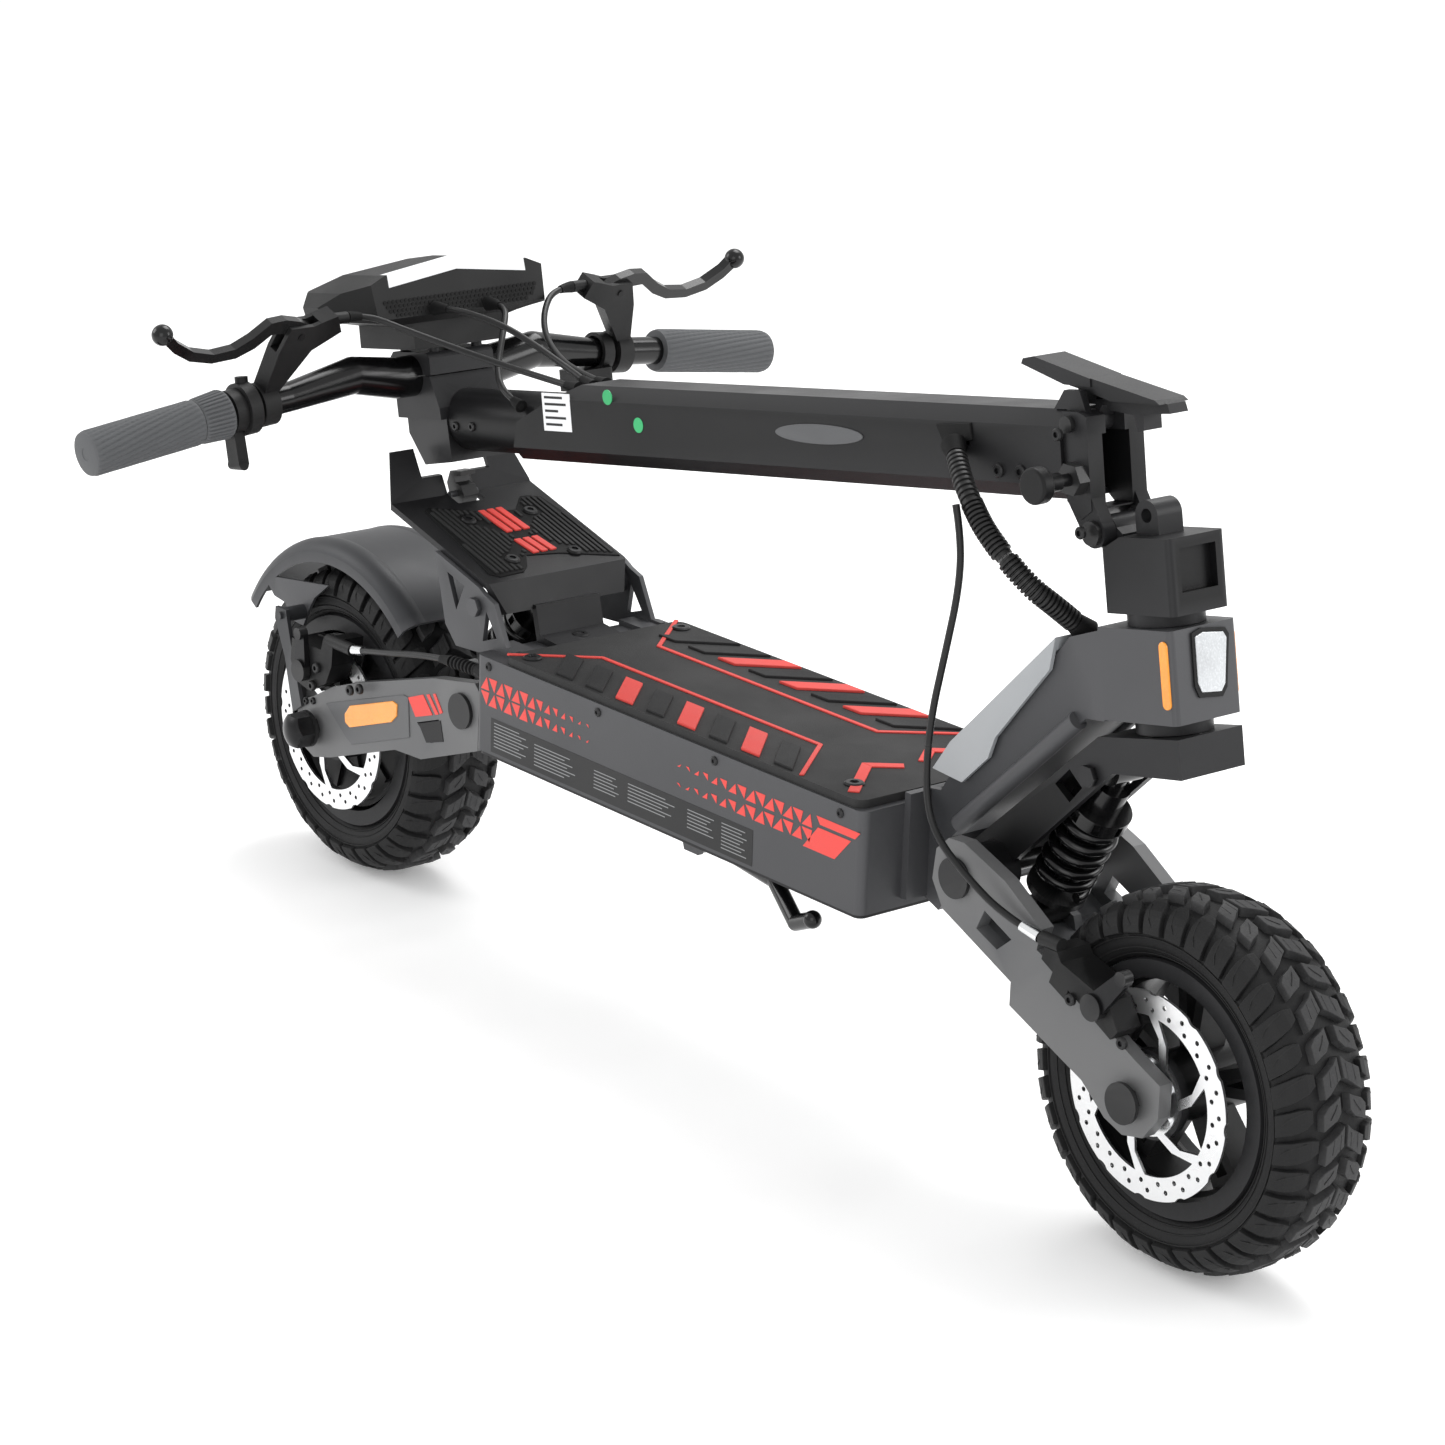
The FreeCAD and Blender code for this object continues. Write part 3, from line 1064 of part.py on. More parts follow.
def rear_fender():
    """The guard over the tyre, with a leg on each side that comes down to the stays."""
    half = 46.0
    shell = [(-half, 131), (-half, 139), ((-40, 147), (-28, 149)), (28, 149), ((40, 147), (half, 139)),
             (half, 131), (half - 2.5, 131), (half - 2.5, 138.5), ((37.5, 144), (27, 146)), (-27, 146),
             ((-37.5, 144), (-half + 2.5, 138.5)), (-half + 2.5, 131), (-half, 131)]
    guard = revolved(REAR_WHEEL, shell, degrees=102, start=46)
    leg = [(-557, 222), (-548, 214), (-532, 212), (-524, 200), (-506, 199), (-499, 212), (-490, 226),
           (-470, 241), (-450, 248), (-450, 262), (-500, 262)]
    legs = pair(plane_points(side, leg), half - 2.5, half)
    inside = rod(REAR_WHEEL, ALONG_Y, 133, -60, 60).cut(
        plate([V(-570, 0, 150), V(-570, 0, 227), V(-470, 0, 241), V(-470, 0, 150)], -60, 60))
    outer = rod(REAR_WHEEL, ALONG_Y, 136, -60, 60)
    legs = [one.common(outer).cut(inside) for one in legs]
    holes = rod(FENDER_BOLT, ALONG_Y, 3 + RUNNING_FIT, -60, 60)
    return cut(fuse(guard, *legs), holes)


def fender_stays():
    """Flat straps from the axle's ends up to the fender's legs, with the bolts that join them."""
    solids = []
    foot = polar(REAR_WHEEL, 22, 150)
    across = V(6.2, 0, 3.8)
    for way in (-1, 1):
        near, far = sorted((way * ARM_OUTER, way * 67.2))
        knee = V(-494, 0, 176)
        strap = plate([foot - across, foot + across, knee + V(7, 0, -2), FENDER_BOLT + V(9, 0, -3),
                       FENDER_BOLT + V(7, 0, 6), FENDER_BOLT + V(-8, 0, 6), FENDER_BOLT + V(-9, 0, -4),
                       knee + V(-7, 0, 2)], near, far)
        inner, outer = sorted((way * 46.05, way * (ARM_OUTER + 1)))
        spacer = rod(FENDER_BOLT, ALONG_Y, 6, inner, outer)
        pin_low, pin_high = sorted((way * 42, way * 69.5))
        pin = rod(FENDER_BOLT, ALONG_Y, 3, pin_low, pin_high)
        solids.append(cut(fuse(strap, spacer, pin), rod(REAR_WHEEL, ALONG_Y, AXLE_RADIUS + 5.5, -80, 80)))
    return group(solids)


# ---- kickstand ----
STAND_PIVOT = V(10.0, -44.0, 168.0)


def kickstand():
    """A bent rod that folds forward under the deck, with its toe out past the deck's edge."""
    knee, ankle, toe = V(106, -60, 168), V(146, -74, 152), V(170, -80, 163)
    leg_rod = chain([STAND_PIVOT, knee, ankle, toe], (6, 6, 6, 6))
    tip = Part.makeSphere(6.5, toe)
    hub = rod(STAND_PIVOT, ALONG_Y, 10, -9, 9)
    return cut(fuse(leg_rod, hub, tip), rod(STAND_PIVOT, ALONG_Y, 4 + RUNNING_FIT, -40, 40))


def kickstand_bracket():
    top = DECK_BOTTOM - 3
    x = STAND_PIVOT.x
    foot = block(x - 20, x + 20, -60, -28, top - 0.6, top)
    outline = [V(x - 14, 0, top - 0.3), V(x + 14, 0, top - 0.3), V(x + 8, 0, 160), V(x - 8, 0, 160)]
    ears = [plate(outline, low, high) for low, high in ((-58, -53.5), (-34.5, -30))]
    return cut(fuse(foot, *ears), rod(STAND_PIVOT, ALONG_Y, 4, -30, 30))


def kickstand_pin():
    return rod(STAND_PIVOT, ALONG_Y, 4, -14.5, 14.5)


# ---- cables ----
# A cable that crosses the fold and the steering changes hands where the two halves meet.
LOOM_UPPER = [V(239, -34, 506), V(262, -49, 495), V(284, -58, 480), V(303, -60.3, 463), V(317, -57, 451)]
LOOM_LOWER = [V(318.1, -56.7, 450.1), V(335, -52.5, 435.6), V(346, -36, 421), V(352.5, -14, 402)]
FRONT_CABLE_UPPER = [V(280, -67.5, 479), V(289, -69.5, 458), V(290, -70.5, 425), V(281, -72, 378),
                     V(272.5, -73.5, 335), V(271.9, -74.1, 315)]
FRONT_CABLE_LOWER = [V(271.9, -74.1, 314.7), V(271.2, -75, 287), V(284, -77, 258), V(316, -75.5, 237),
                     V(347, -70.5, 219), V(379, -67.5, 213)]
REAR_CABLE = [V(-217, -75, 238), V(-252, -75, 238), V(-302, -74, 231), V(-356, -70, 218), V(-405, -66, 207.5)]


def lever_cable(way):
    route = [lever_point(way, 105.5, 67), lever_point(way, 88, 67)]
    for s, n, y in ((692, 121, 66), (664, 106, 44), (628, 92, 27), (592, 82, 17), (549, 73.6, 13)):
        route.append(stem(s, n, way * y))
    return cable(f"lever cable {way}", route, CABLE_DIAMETER)


DISPLAY_LEAD = [stem(705.7, 132, -26), stem(688, 132, -26), stem(668, 128, -20), stem(640, 118, -10),
                stem(614, 104, -3)]
STEM_LEAD = [stem(588, 90, 1), stem(549, 73.6, 0)]
SIDE_LEAD = [stem(705.7, 130, 24), stem(682, 130, 24), stem(664, 112, 6), stem(652, 92, -10),
             stem(640, 78, -20), stem(624, 67, -24), stem(606, 60, -25)]


def inner_wire(start, end):
    """The bare wire and its bellows between a cable stop and a caliper arm."""
    along = (end - start).normalize()
    length = (end - start).Length
    return fuse(Part.makeCylinder(1.2, length, start, along),
                Part.makeCylinder(3, length * 0.55, start, along))


def main():
    os.makedirs("parts", exist_ok=True)
    front_eyes = eye_bolts(FRONT_SHOCK, 22, 29.5)
    rear_eyes = eye_bolts(REAR_SHOCK, 22, 71)
    right_bracket, left_bracket = foot_plate_brackets()
    pivot_front, pivot_rear = side(*FRONT_PIVOT), side(*REAR_PIVOT)
    nodes = {
        "deck_box": deck_box(),
        "deck_mat": deck_mat(),
        "deck_bottom_cover": deck_bottom_cover(),
        "battery_pack": battery_pack(),
        "motor_controller": motor_controller(),
        "neck_frame": neck_frame(),
        "head_tube": head_tube(),
        "neck_cover": neck_cover(),
        "headset_bearings": headset_bearings(),
        "foot_plate": foot_plate(),
        "steel_brackets": group([right_bracket, left_bracket, kickstand_bracket(), kickstand_pin(),
                                 hook_pin(), rear_eyes[1]]),
        "rear_pivot_bolt": group([rod(pivot_rear, ALONG_Y, PIN_RADIUS, -64.1, 64.1)]
                                 + hex_caps(pivot_rear, 64.2, 82, 14).Solids),
        "stem_hook": stem_hook(),
        "kickstand": kickstand(),
        "fork": group([fork(), steerer_tube(), front_eyes[1]] + headset_covers()),
        "stem_base": stem_base(),
        "front_pivot_bolt": group([rod(pivot_front, ALONG_Y, PIN_RADIUS, -64.1, 64.1)]
                                  + hex_caps(pivot_front, 64.2, 82, 14).Solids),
        "front_swing_arm": swing_arm(FRONT_ARM_OUTLINE, FRONT_ARM_WINDOW, FRONT_BRIDGE, FRONT_PIVOT,
                                     FRONT_WHEEL, FRONT_SHOCK[0]),
        "rear_swing_arm": swing_arm(REAR_ARM_OUTLINE, REAR_ARM_WINDOW, REAR_BRIDGE, REAR_PIVOT,
                                    REAR_WHEEL, REAR_SHOCK[0]),
        "front_axle": group(axle_set(FRONT_WHEEL) + front_bearings(FRONT_WHEEL) + [front_eyes[0]]
                            + hex_caps(FRONT_WHEEL, ARM_OUTER + 5.1, ARM_OUTER + 18, 14).Solids),
        "rear_axle": group(axle_set(REAR_WHEEL) + motor_stator(REAR_WHEEL) + [rear_eyes[0]]
                           + hex_caps(REAR_WHEEL, ARM_OUTER + 5.1, ARM_OUTER + 25, 15).Solids),
        "front_shock_lower": shock_lower(FRONT_SHOCK),
        "front_shock_upper": shock_upper(FRONT_SHOCK, FRONT_SPRING_TOP),
        "front_spring": coil_spring(FRONT_SHOCK, FRONT_SPRING_TOP, 5),
        "rear_shock_lower": shock_lower(REAR_SHOCK),
        "rear_shock_upper": shock_upper(REAR_SHOCK, REAR_SPRING_TOP),
        "rear_spring": coil_spring(REAR_SHOCK, REAR_SPRING_TOP, 4),
        "front_tyre": tyre(FRONT_WHEEL),
        "front_rim": front_rim(FRONT_WHEEL),
        "front_rotor": group([brake_rotor(FRONT_WHEEL)] + rotor_bolts(FRONT_WHEEL, 2.6).Solids),
        "rear_tyre": tyre(REAR_WHEEL),
        "rear_motor_hub": group([motor_hub(REAR_WHEEL), motor_cover(REAR_WHEEL)]),
        "rear_rotor": group([brake_rotor(REAR_WHEEL)] + rotor_bolts(REAR_WHEEL, 2.6).Solids),
        "front_caliper": front_caliper(),
        "front_caliper_arm": caliper_arm((437, 185), (463, 213)),
        "rear_caliper": rear_caliper(),
        "rear_caliper_arm": caliper_arm((-468, 176), (-467, 207)),
        "rear_fender": group([rear_fender()] + fender_stays().Solids),
        "stem_tube": stem_tube(),
        "hinge_casting": hinge_casting(),
        "stem_pins": group([hinge_pin(), latch_pin(), lock_nut()]),
        "latch_lever": latch_lever(),
        "lock_knob": lock_knob(),
        "handlebar": handlebar(),
        "handlebar_clamp": group([handlebar_clamp(), handlebar_clamp_cap()] + handlebar_clamp_bolts().Solids),
        "grips": group([grip(-1), grip(1)]),
        "lever_perches": group([lever_perch(-1), lever_perch(1), lever_pin(-1), lever_pin(1)]),
        "right_brake_lever": brake_lever(-1),
        "left_brake_lever": brake_lever(1),
        "bar_controls": group([throttle_housing(), switch_pod()]),
        "throttle_lever": throttle_lever(),
        "switch_button": switch_button(),
        "display_housing": display_housing(),
        "display_windows": group([light_strip(), display_screen(), display_board()]),
        "loom_upper": cable("loom upper", LOOM_UPPER, LOOM_DIAMETER),
        "loom_lower": cable("loom lower", LOOM_LOWER, LOOM_DIAMETER),
        "front_brake_cable_upper": cable("front cable upper", FRONT_CABLE_UPPER, CABLE_DIAMETER),
        "front_brake_cable_lower": group([cable("front cable lower", FRONT_CABLE_LOWER, CABLE_DIAMETER),
                                          inner_wire(V(401, -67.5, 213.5), V(452, -74, 214))]),
        "rear_brake_cable": group([cable("rear cable", REAR_CABLE, CABLE_DIAMETER),
                                   inner_wire(V(-446.5, -69, 207.5), V(-459.5, -73, 207))]),
        "handlebar_cables": group([lever_cable(-1), lever_cable(1),
                                   cable("display lead", DISPLAY_LEAD + STEM_LEAD, CABLE_DIAMETER),
                                   cable("side lead", SIDE_LEAD, CABLE_DIAMETER)]),
    }
    for name, shape in nodes.items():
        export(name, shape)
        solids = shape.Solids
        print(name, len(solids), "solids", "valid" if shape.isValid() else "NOT VALID",
              round(sum(solid.Volume for solid in solids) / 1000, 1), "cm3")
    print(len(nodes), "nodes; box", BOUNDS)


if __name__ == "__main__":
    main()
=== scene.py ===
import bpy
import bmesh
import json
import math
from mathutils import Matrix, Vector


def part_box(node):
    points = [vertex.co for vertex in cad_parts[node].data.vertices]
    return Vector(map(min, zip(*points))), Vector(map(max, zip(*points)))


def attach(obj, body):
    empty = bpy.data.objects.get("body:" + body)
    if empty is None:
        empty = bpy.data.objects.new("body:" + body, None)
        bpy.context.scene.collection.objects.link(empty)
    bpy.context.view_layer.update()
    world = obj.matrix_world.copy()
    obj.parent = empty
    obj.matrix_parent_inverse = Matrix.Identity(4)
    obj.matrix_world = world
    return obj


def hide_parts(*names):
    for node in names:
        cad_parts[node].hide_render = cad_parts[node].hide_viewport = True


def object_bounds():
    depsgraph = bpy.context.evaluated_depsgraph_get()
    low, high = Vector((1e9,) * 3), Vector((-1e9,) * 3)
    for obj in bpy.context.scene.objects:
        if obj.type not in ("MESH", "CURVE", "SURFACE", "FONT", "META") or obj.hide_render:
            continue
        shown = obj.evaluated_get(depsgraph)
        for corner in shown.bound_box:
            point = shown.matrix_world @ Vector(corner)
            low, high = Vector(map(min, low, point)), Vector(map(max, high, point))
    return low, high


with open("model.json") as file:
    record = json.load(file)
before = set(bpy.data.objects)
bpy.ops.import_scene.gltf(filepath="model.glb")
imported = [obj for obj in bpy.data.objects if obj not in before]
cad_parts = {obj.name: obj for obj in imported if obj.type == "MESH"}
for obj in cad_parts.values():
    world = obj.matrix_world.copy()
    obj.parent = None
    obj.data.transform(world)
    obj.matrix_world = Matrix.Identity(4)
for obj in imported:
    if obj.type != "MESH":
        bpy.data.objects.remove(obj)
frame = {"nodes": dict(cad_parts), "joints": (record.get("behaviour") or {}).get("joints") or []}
cad_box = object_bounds()
joints = {joint["name"]: joint for joint in frame["joints"]}
scene = bpy.context.scene

# ---- places, in the record's frame. Lengths below are written in millimetres ----
ALONG_Y = Vector((0, 1, 0))
HINGE = Vector(joints["stem_fold"]["pos_m"])
STEM_ABOVE = Vector(joints["switch_button_press"]["axis"])
STEM_ALONG = Vector((-STEM_ABOVE.z, 0, STEM_ABOVE.x))
STEERING = Vector(joints["steering_turn"]["pos_m"])
AXIS_UP = Vector(joints["steering_turn"]["axis"])
AXIS_AHEAD = Vector((AXIS_UP.z, 0, -AXIS_UP.x))
FRONT_WHEEL = Vector(joints["front_wheel_spin"]["pos_m"])
REAR_WHEEL = Vector(joints["rear_wheel_spin"]["pos_m"])
MIDDLE = (FRONT_WHEEL + REAR_WHEEL) / 2        # halfway between the wheels
MM = 0.001


def place(x, y, z):
    """A point given in millimetres from halfway between the wheels, with z from the ground."""
    return Vector((MIDDLE.x + x * MM, y * MM, z * MM))


def stem(s, n, y=0.0):
    return HINGE + STEM_ALONG * (s * MM) + STEM_ABOVE * (n * MM) + ALONG_Y * (y * MM)


def steer(u, v, y=0.0):
    return STEERING + AXIS_AHEAD * (u * MM) + AXIS_UP * (v * MM) + ALONG_Y * (y * MM)


def bar_point(y):
    """The handlebar's centre line beyond its bends."""
    share = (abs(y) - 200.0) / 119.6
    return stem(740 + 2 * share, 72.5 - 14.9 * share, y)


# ---- camera ----
FOCAL_LENGTH = 102.8                       # millimetres
SENSOR_WIDTH = 36.0
CAMERA_AT = (2162.0, -1820.3, 1154.2)      # millimetres, from halfway between the wheels
CAMERA_TURNS = (50.28, 17.855, 1.767)      # azimuth, elevation and roll, in degrees
camera = bpy.data.objects.new("camera", bpy.data.cameras.new("camera"))
scene.collection.objects.link(camera)
scene.camera = camera
camera.data.lens = FOCAL_LENGTH
camera.data.sensor_width = SENSOR_WIDTH
camera.location = place(*CAMERA_AT)
azimuth, elevation, roll = (math.radians(turn) for turn in CAMERA_TURNS)
back = Vector((math.sin(azimuth) * math.cos(elevation), -math.cos(azimuth) * math.cos(elevation),
               math.sin(elevation)))
level = Vector((0, 0, 1)).cross(back).normalized()
upright = back.cross(level)
right = level * math.cos(roll) + upright * math.sin(roll)
camera.rotation_mode = "QUATERNION"
camera.rotation_quaternion = Matrix((right, back.cross(right), back)).transposed().to_quaternion()


# ---- materials ----
GRAIN_DEPTH = 0.0004           # metres
COAT_ROUGHNESS = 0.12


def new_material(name):
    material = bpy.data.materials.new(name)
    material.use_nodes = True
    return material, material.node_tree, material.node_tree.nodes["Principled BSDF"]


def link(tree, a, b):
    tree.links.new(a, b)


def noise_node(tree, scale, detail=4.0, roughness=0.55):
    coordinates = tree.nodes.new("ShaderNodeTexCoord")
    noise = tree.nodes.new("ShaderNodeTexNoise")
    noise.inputs["Scale"].default_value = scale
    noise.inputs["Detail"].default_value = detail
    noise.inputs["Roughness"].default_value = roughness
    link(tree, coordinates.outputs["Object"], noise.inputs["Vector"])
    return noise


def mapped(tree, source, low, high, from_low=0.3, from_high=0.7):
    node = tree.nodes.new("ShaderNodeMapRange")
    node.inputs["From Min"].default_value = from_low
    node.inputs["From Max"].default_value = from_high
    node.inputs["To Min"].default_value = low
    node.inputs["To Max"].default_value = high
    link(tree, source, node.inputs["Value"])
    return node.outputs["Result"]


def mixed(tree, factor, a, b):
    """A colour mix; a and b are colours or sockets."""
    node = tree.nodes.new("ShaderNodeMix")
    node.data_type = "RGBA"
    link(tree, factor, node.inputs["Factor"])
    for socket, value in ((node.inputs[6], a), (node.inputs[7], b)):
        if isinstance(value, tuple):
            socket.default_value = (*value, 1.0)
        else:
            link(tree, value, socket)
    return node.outputs[2]


def shade(colour, factor):
    return tuple(min(1.0, c * factor) for c in colour)


def surface(name, colour, rough, metallic=0.0, grain=900.0, bump=0.12, vary=0.12, wear=None, coat=0.0,
            patches=14.0, shine=0.5):
    """A solid colour with slow mottling, a fine grain in the bump and lighter worn edges."""
    material, tree, shader = new_material(name)
    shader.inputs["Metallic"].default_value = metallic
    shader.inputs["Coat Weight"].default_value = coat
    shader.inputs["Specular IOR Level"].default_value = shine
    shader.inputs["Coat Roughness"].default_value = COAT_ROUGHNESS
    slow = noise_node(tree, patches)
    fine = noise_node(tree, grain, 2.0)
    mottling = mapped(tree, slow.outputs["Fac"], 0.0, 1.0)
    base = mixed(tree, mottling, shade(colour, 1 - vary), shade(colour, 1 + vary))
    specks = mapped(tree, fine.outputs["Fac"], 0.0, 0.5, 0.45, 0.75)
    result = mixed(tree, specks, base, shade(colour, 1 + 2 * vary))
    if wear:
        geometry = tree.nodes.new("ShaderNodeNewGeometry")
        edge = mapped(tree, geometry.outputs["Pointiness"], 0.0, 0.55, 0.53, 0.62)
        result = mixed(tree, edge, result, wear)
    link(tree, result, shader.inputs["Base Color"])
    roughness = mapped(tree, slow.outputs["Fac"], rough * 0.85, min(1.0, rough * 1.15))
    link(tree, roughness, shader.inputs["Roughness"])
    relief = tree.nodes.new("ShaderNodeBump")
    relief.inputs["Strength"].default_value = bump
    relief.inputs["Distance"].default_value = GRAIN_DEPTH
    link(tree, fine.outputs["Fac"], relief.inputs["Height"])
    link(tree, relief.outputs["Normal"], shader.inputs["Normal"])
    return material


GUNMETAL = (0.036, 0.037, 0.040)
BLACK = (0.0048, 0.0048, 0.0052)
paint_gunmetal = surface("gunmetal_paint", GUNMETAL, 0.44, 0.25, 1500, 0.16, 0.10, (0.10, 0.10, 0.105),
                         shine=0.35)
paint_light = surface("light_gunmetal_paint", (0.088, 0.090, 0.094), 0.44, 0.2, 1500, 0.16, 0.08,
                      (0.18, 0.18, 0.18),
                      shine=0.35)
paint_black = surface("black_paint", BLACK, 0.40, 0.0, 1600, 0.18, 0.15, (0.03, 0.03, 0.032), shine=0.22)
paint_gloss = surface("gloss_black_paint", (0.0030, 0.0030, 0.0033), 0.20, 0.0, 900, 0.05, 0.15,
                      (0.02, 0.02, 0.02), shine=0.38)
plastic_black = surface("black_plastic", (0.0046, 0.0046, 0.005), 0.46, 0.0, 2200, 0.3, 0.15,
                        (0.02, 0.02, 0.02),
                        shine=0.22)
plastic_grey = surface("cover_grey_plastic", (0.27, 0.285, 0.30), 0.5, 0.0, 1800, 0.15, 0.05,
                       (0.42, 0.43, 0.44))
rubber_mat = surface("mat_rubber", (0.0125, 0.0125, 0.013), 0.72, 0.0, 1400, 0.6, 0.15,
                     (0.04, 0.04, 0.04), shine=0.3)
rubber_grip = surface("grip_rubber", (0.085, 0.088, 0.092), 0.62, 0.0, 2000, 0.4, 0.10,
                      (0.14, 0.14, 0.145), shine=0.3)
rubber_tyre = surface("tyre_rubber", (0.0062, 0.0062, 0.0066), 0.60, 0.0, 700, 0.5, 0.22,
                      (0.02, 0.02, 0.02), shine=0.28)
rubber_tread = surface("tread_rubber", (0.030, 0.030, 0.031), 0.66, 0.0, 500, 0.7, 0.25,
                       (0.06, 0.06, 0.06), 0, 60, 0.3)
cable_black = surface("cable_sheath", (0.0045, 0.0045, 0.0048), 0.38, 0.0, 1800, 0.2, 0.15,
                      (0.02, 0.02, 0.02), shine=0.35)
red_paint = surface("red_decal", (0.72, 0.050, 0.040), 0.45, 0.0, 1500, 0.15, 0.07)
red_rubber = surface("red_rubber", (0.66, 0.052, 0.042), 0.62, 0.0, 1200, 0.4, 0.08)
steel = surface("plated_steel", (0.55, 0.56, 0.57), 0.26, 1.0, 900, 0.12, 0.10)
rotor_steel = surface("rotor_steel", (0.78, 0.79, 0.80), 0.30, 1.0, 2500, 0.2, 0.08, (0.88, 0.88, 0.88))
black_steel = surface("black_oxide_steel", (0.012, 0.012, 0.013), 0.34, 0.5, 1500, 0.1, 0.2,
                      (0.06, 0.06, 0.06),
                      shine=0.3)
alloy = surface("machined_alloy", (0.5, 0.51, 0.52), 0.32, 1.0, 1500, 0.12, 0.1)
spring_steel = surface("polished_steel", (0.82, 0.83, 0.84), 0.22, 1.0, 1500, 0.08, 0.06)
amber = surface("amber_reflector", (0.85, 0.27, 0.012), 0.22, 0.0, 500, 0.5, 0.15, (1.0, 0.5, 0.1), 0.6)
clear_reflector = surface("clear_reflector", (0.55, 0.57, 0.59), 0.2, 0.35, 700, 0.5, 0.25,
                          (0.9, 0.9, 0.9), 0.6)
white_print = surface("white_print", (0.78, 0.79, 0.80), 0.45, 0.0, 1200, 0.1, 0.04)
grey_print = surface("grey_print", (0.22, 0.225, 0.23), 0.45, 0.0, 1200, 0.1, 0.06)
dark_print = surface("dark_print", (0.012, 0.012, 0.0125), 0.40, 0.0, 1200, 0.1, 0.08, shine=0.3)
black_pad = surface("pad_rubber", (0.0035, 0.0035, 0.0037), 0.66, 0.0, 1400, 0.4, 0.15,
                    (0.015, 0.015, 0.015), shine=0.2)
green_print = surface("green_sticker", (0.02, 0.36, 0.12), 0.4, 0.0, 900, 0.1, 0.12)
battery_wrap = surface("battery_wrap", (0.03, 0.08, 0.25), 0.35, 0.0, 900, 0.1, 0.12)


# ---- new pieces ----
class Shape:
    """Collects closed bodies into one mesh."""

    def __init__(self):
        self.points = []
        self.faces = []

    def add(self, points, faces):
        start = len(self.points)
        self.points += [Vector(point) for point in points]
        self.faces += [tuple(start + index for index in face) for face in faces]

    def prism(self, outline, offset):
        count = len(outline)
        faces = [tuple(range(count)), tuple(range(2 * count - 1, count - 1, -1))]
        for index in range(count):
            after = (index + 1) % count
            faces.append((index, index + count, after + count, after))
        self.add(list(outline) + [Vector(point) + offset for point in outline], faces)
        return self

    def skin(self, rows, closed_rows=True, capped=True):
        """Rows of equal length joined into a tube."""
        count = len(rows[0])
        faces = []
        for row in range(len(rows) - 1):
            for index in range(count if closed_rows else count - 1):
                after = (index + 1) % count
                a, b = row * count, (row + 1) * count
                faces.append((a + index, a + after, b + after, b + index))
        if capped:
            faces.append(tuple(reversed(range(count))))
            faces.append(tuple(range((len(rows) - 1) * count, len(rows) * count)))
        self.add([point for row in rows for point in row], faces)
        return self

    def lathe(self, start, axis, profile, segments=32, capped=True):
        """Profile is a list of (distance along the axis, radius), in millimetres."""
        axis = Vector(axis).normalized()
        side = axis.orthogonal().normalized()
        other = axis.cross(side)
        rows = []
        for along, radius in profile:
            centre = start + axis * (along * MM)
            rows.append([centre + (side * math.cos(turn) + other * math.sin(turn)) * (radius * MM)
                         for turn in (2 * math.pi * step / segments for step in range(segments))])
        return self.skin(rows, True, capped)

    def build(self, name, material, body, slot, bevel=0.0, smooth=False, replaces=()):
        mesh = bpy.data.meshes.new(name)
        mesh.from_pydata([tuple(point) for point in self.points], [], self.faces)
        work = bmesh.new()
        work.from_mesh(mesh)
        bmesh.ops.recalc_face_normals(work, faces=work.faces)
        work.to_mesh(mesh)
        work.free()
        piece = bpy.data.objects.new(name, mesh)
        scene.collection.objects.link(piece)
        for one in material if isinstance(material, (list, tuple)) else [material]:
            mesh.materials.append(one)
        if bevel:
            modifier = piece.modifiers.new("bevel", "BEVEL")
            modifier.width = bevel * MM
            modifier.segments = 2
            modifier.limit_method = "ANGLE"
            modifier.angle_limit = math.radians(35)
        if smooth:
            mesh.polygons.foreach_set("use_smooth", [True] * len(mesh.polygons))
            mesh.set_sharp_from_angle(angle=math.radians(35))
        if replaces:
            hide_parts(*replaces)
        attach(piece, body)
        return piece


# ---- cables: the same routes as in the model, as smooth curves ----
def cable(name, points, diameter, body, node, material=cable_black):
    curve = bpy.data.curves.new(name, "CURVE")
    curve.dimensions = "3D"
    spline = curve.splines.new("NURBS")
    spline.points.add(len(points) - 1)
    for target, point in zip(spline.points, points):
        target.co = (*point, 1.0)
    spline.order_u = 3
    spline.use_endpoint_u = True
    curve.resolution_u = 16
    curve.bevel_depth = diameter * MM / 2
    curve.bevel_resolution = 5
    curve.use_fill_caps = True
    curve.materials.append(material)
    piece = bpy.data.objects.new(name, curve)
    scene.collection.objects.link(piece)
    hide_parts(node)
    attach(piece, body)
    return piece


def line_of(piece):
    """Points along a cable's smooth centre line."""
    depth = piece.data.bevel_depth
    piece.data.bevel_depth = 0.0
    mesh = bpy.data.meshes.new_from_object(piece)
    points = [vertex.co.copy() for vertex in mesh.vertices]
    bpy.data.meshes.remove(mesh)
    piece.data.bevel_depth = depth
    return points


LOOM_UPPER = [place(239, -34, 506), place(262, -49, 495), place(284, -58, 480), place(303, -60.3, 463),
              place(317, -57, 451)]
LOOM_LOWER = [place(318.1, -56.7, 450.1), place(335, -52.5, 435.6), place(346, -36, 421),
              place(352.5, -14, 402)]
FRONT_CABLE_UPPER = [place(280, -67.5, 479), place(289, -69.5, 458), place(290, -70.5, 425),
                     place(281, -72, 378),
                     place(272.5, -73.5, 335), place(271.9, -74.1, 315)]
FRONT_CABLE_LOWER = [place(271.9, -74.1, 314.7), place(271.2, -75, 287), place(284, -77, 258),
                     place(316, -75.5, 237), place(347, -70.5, 219), place(379, -67.5, 213)]
REAR_CABLE = [place(-217, -75, 238), place(-252, -75, 238), place(-302, -74, 231), place(-356, -70, 218),
              place(-405, -66, 207.5)]
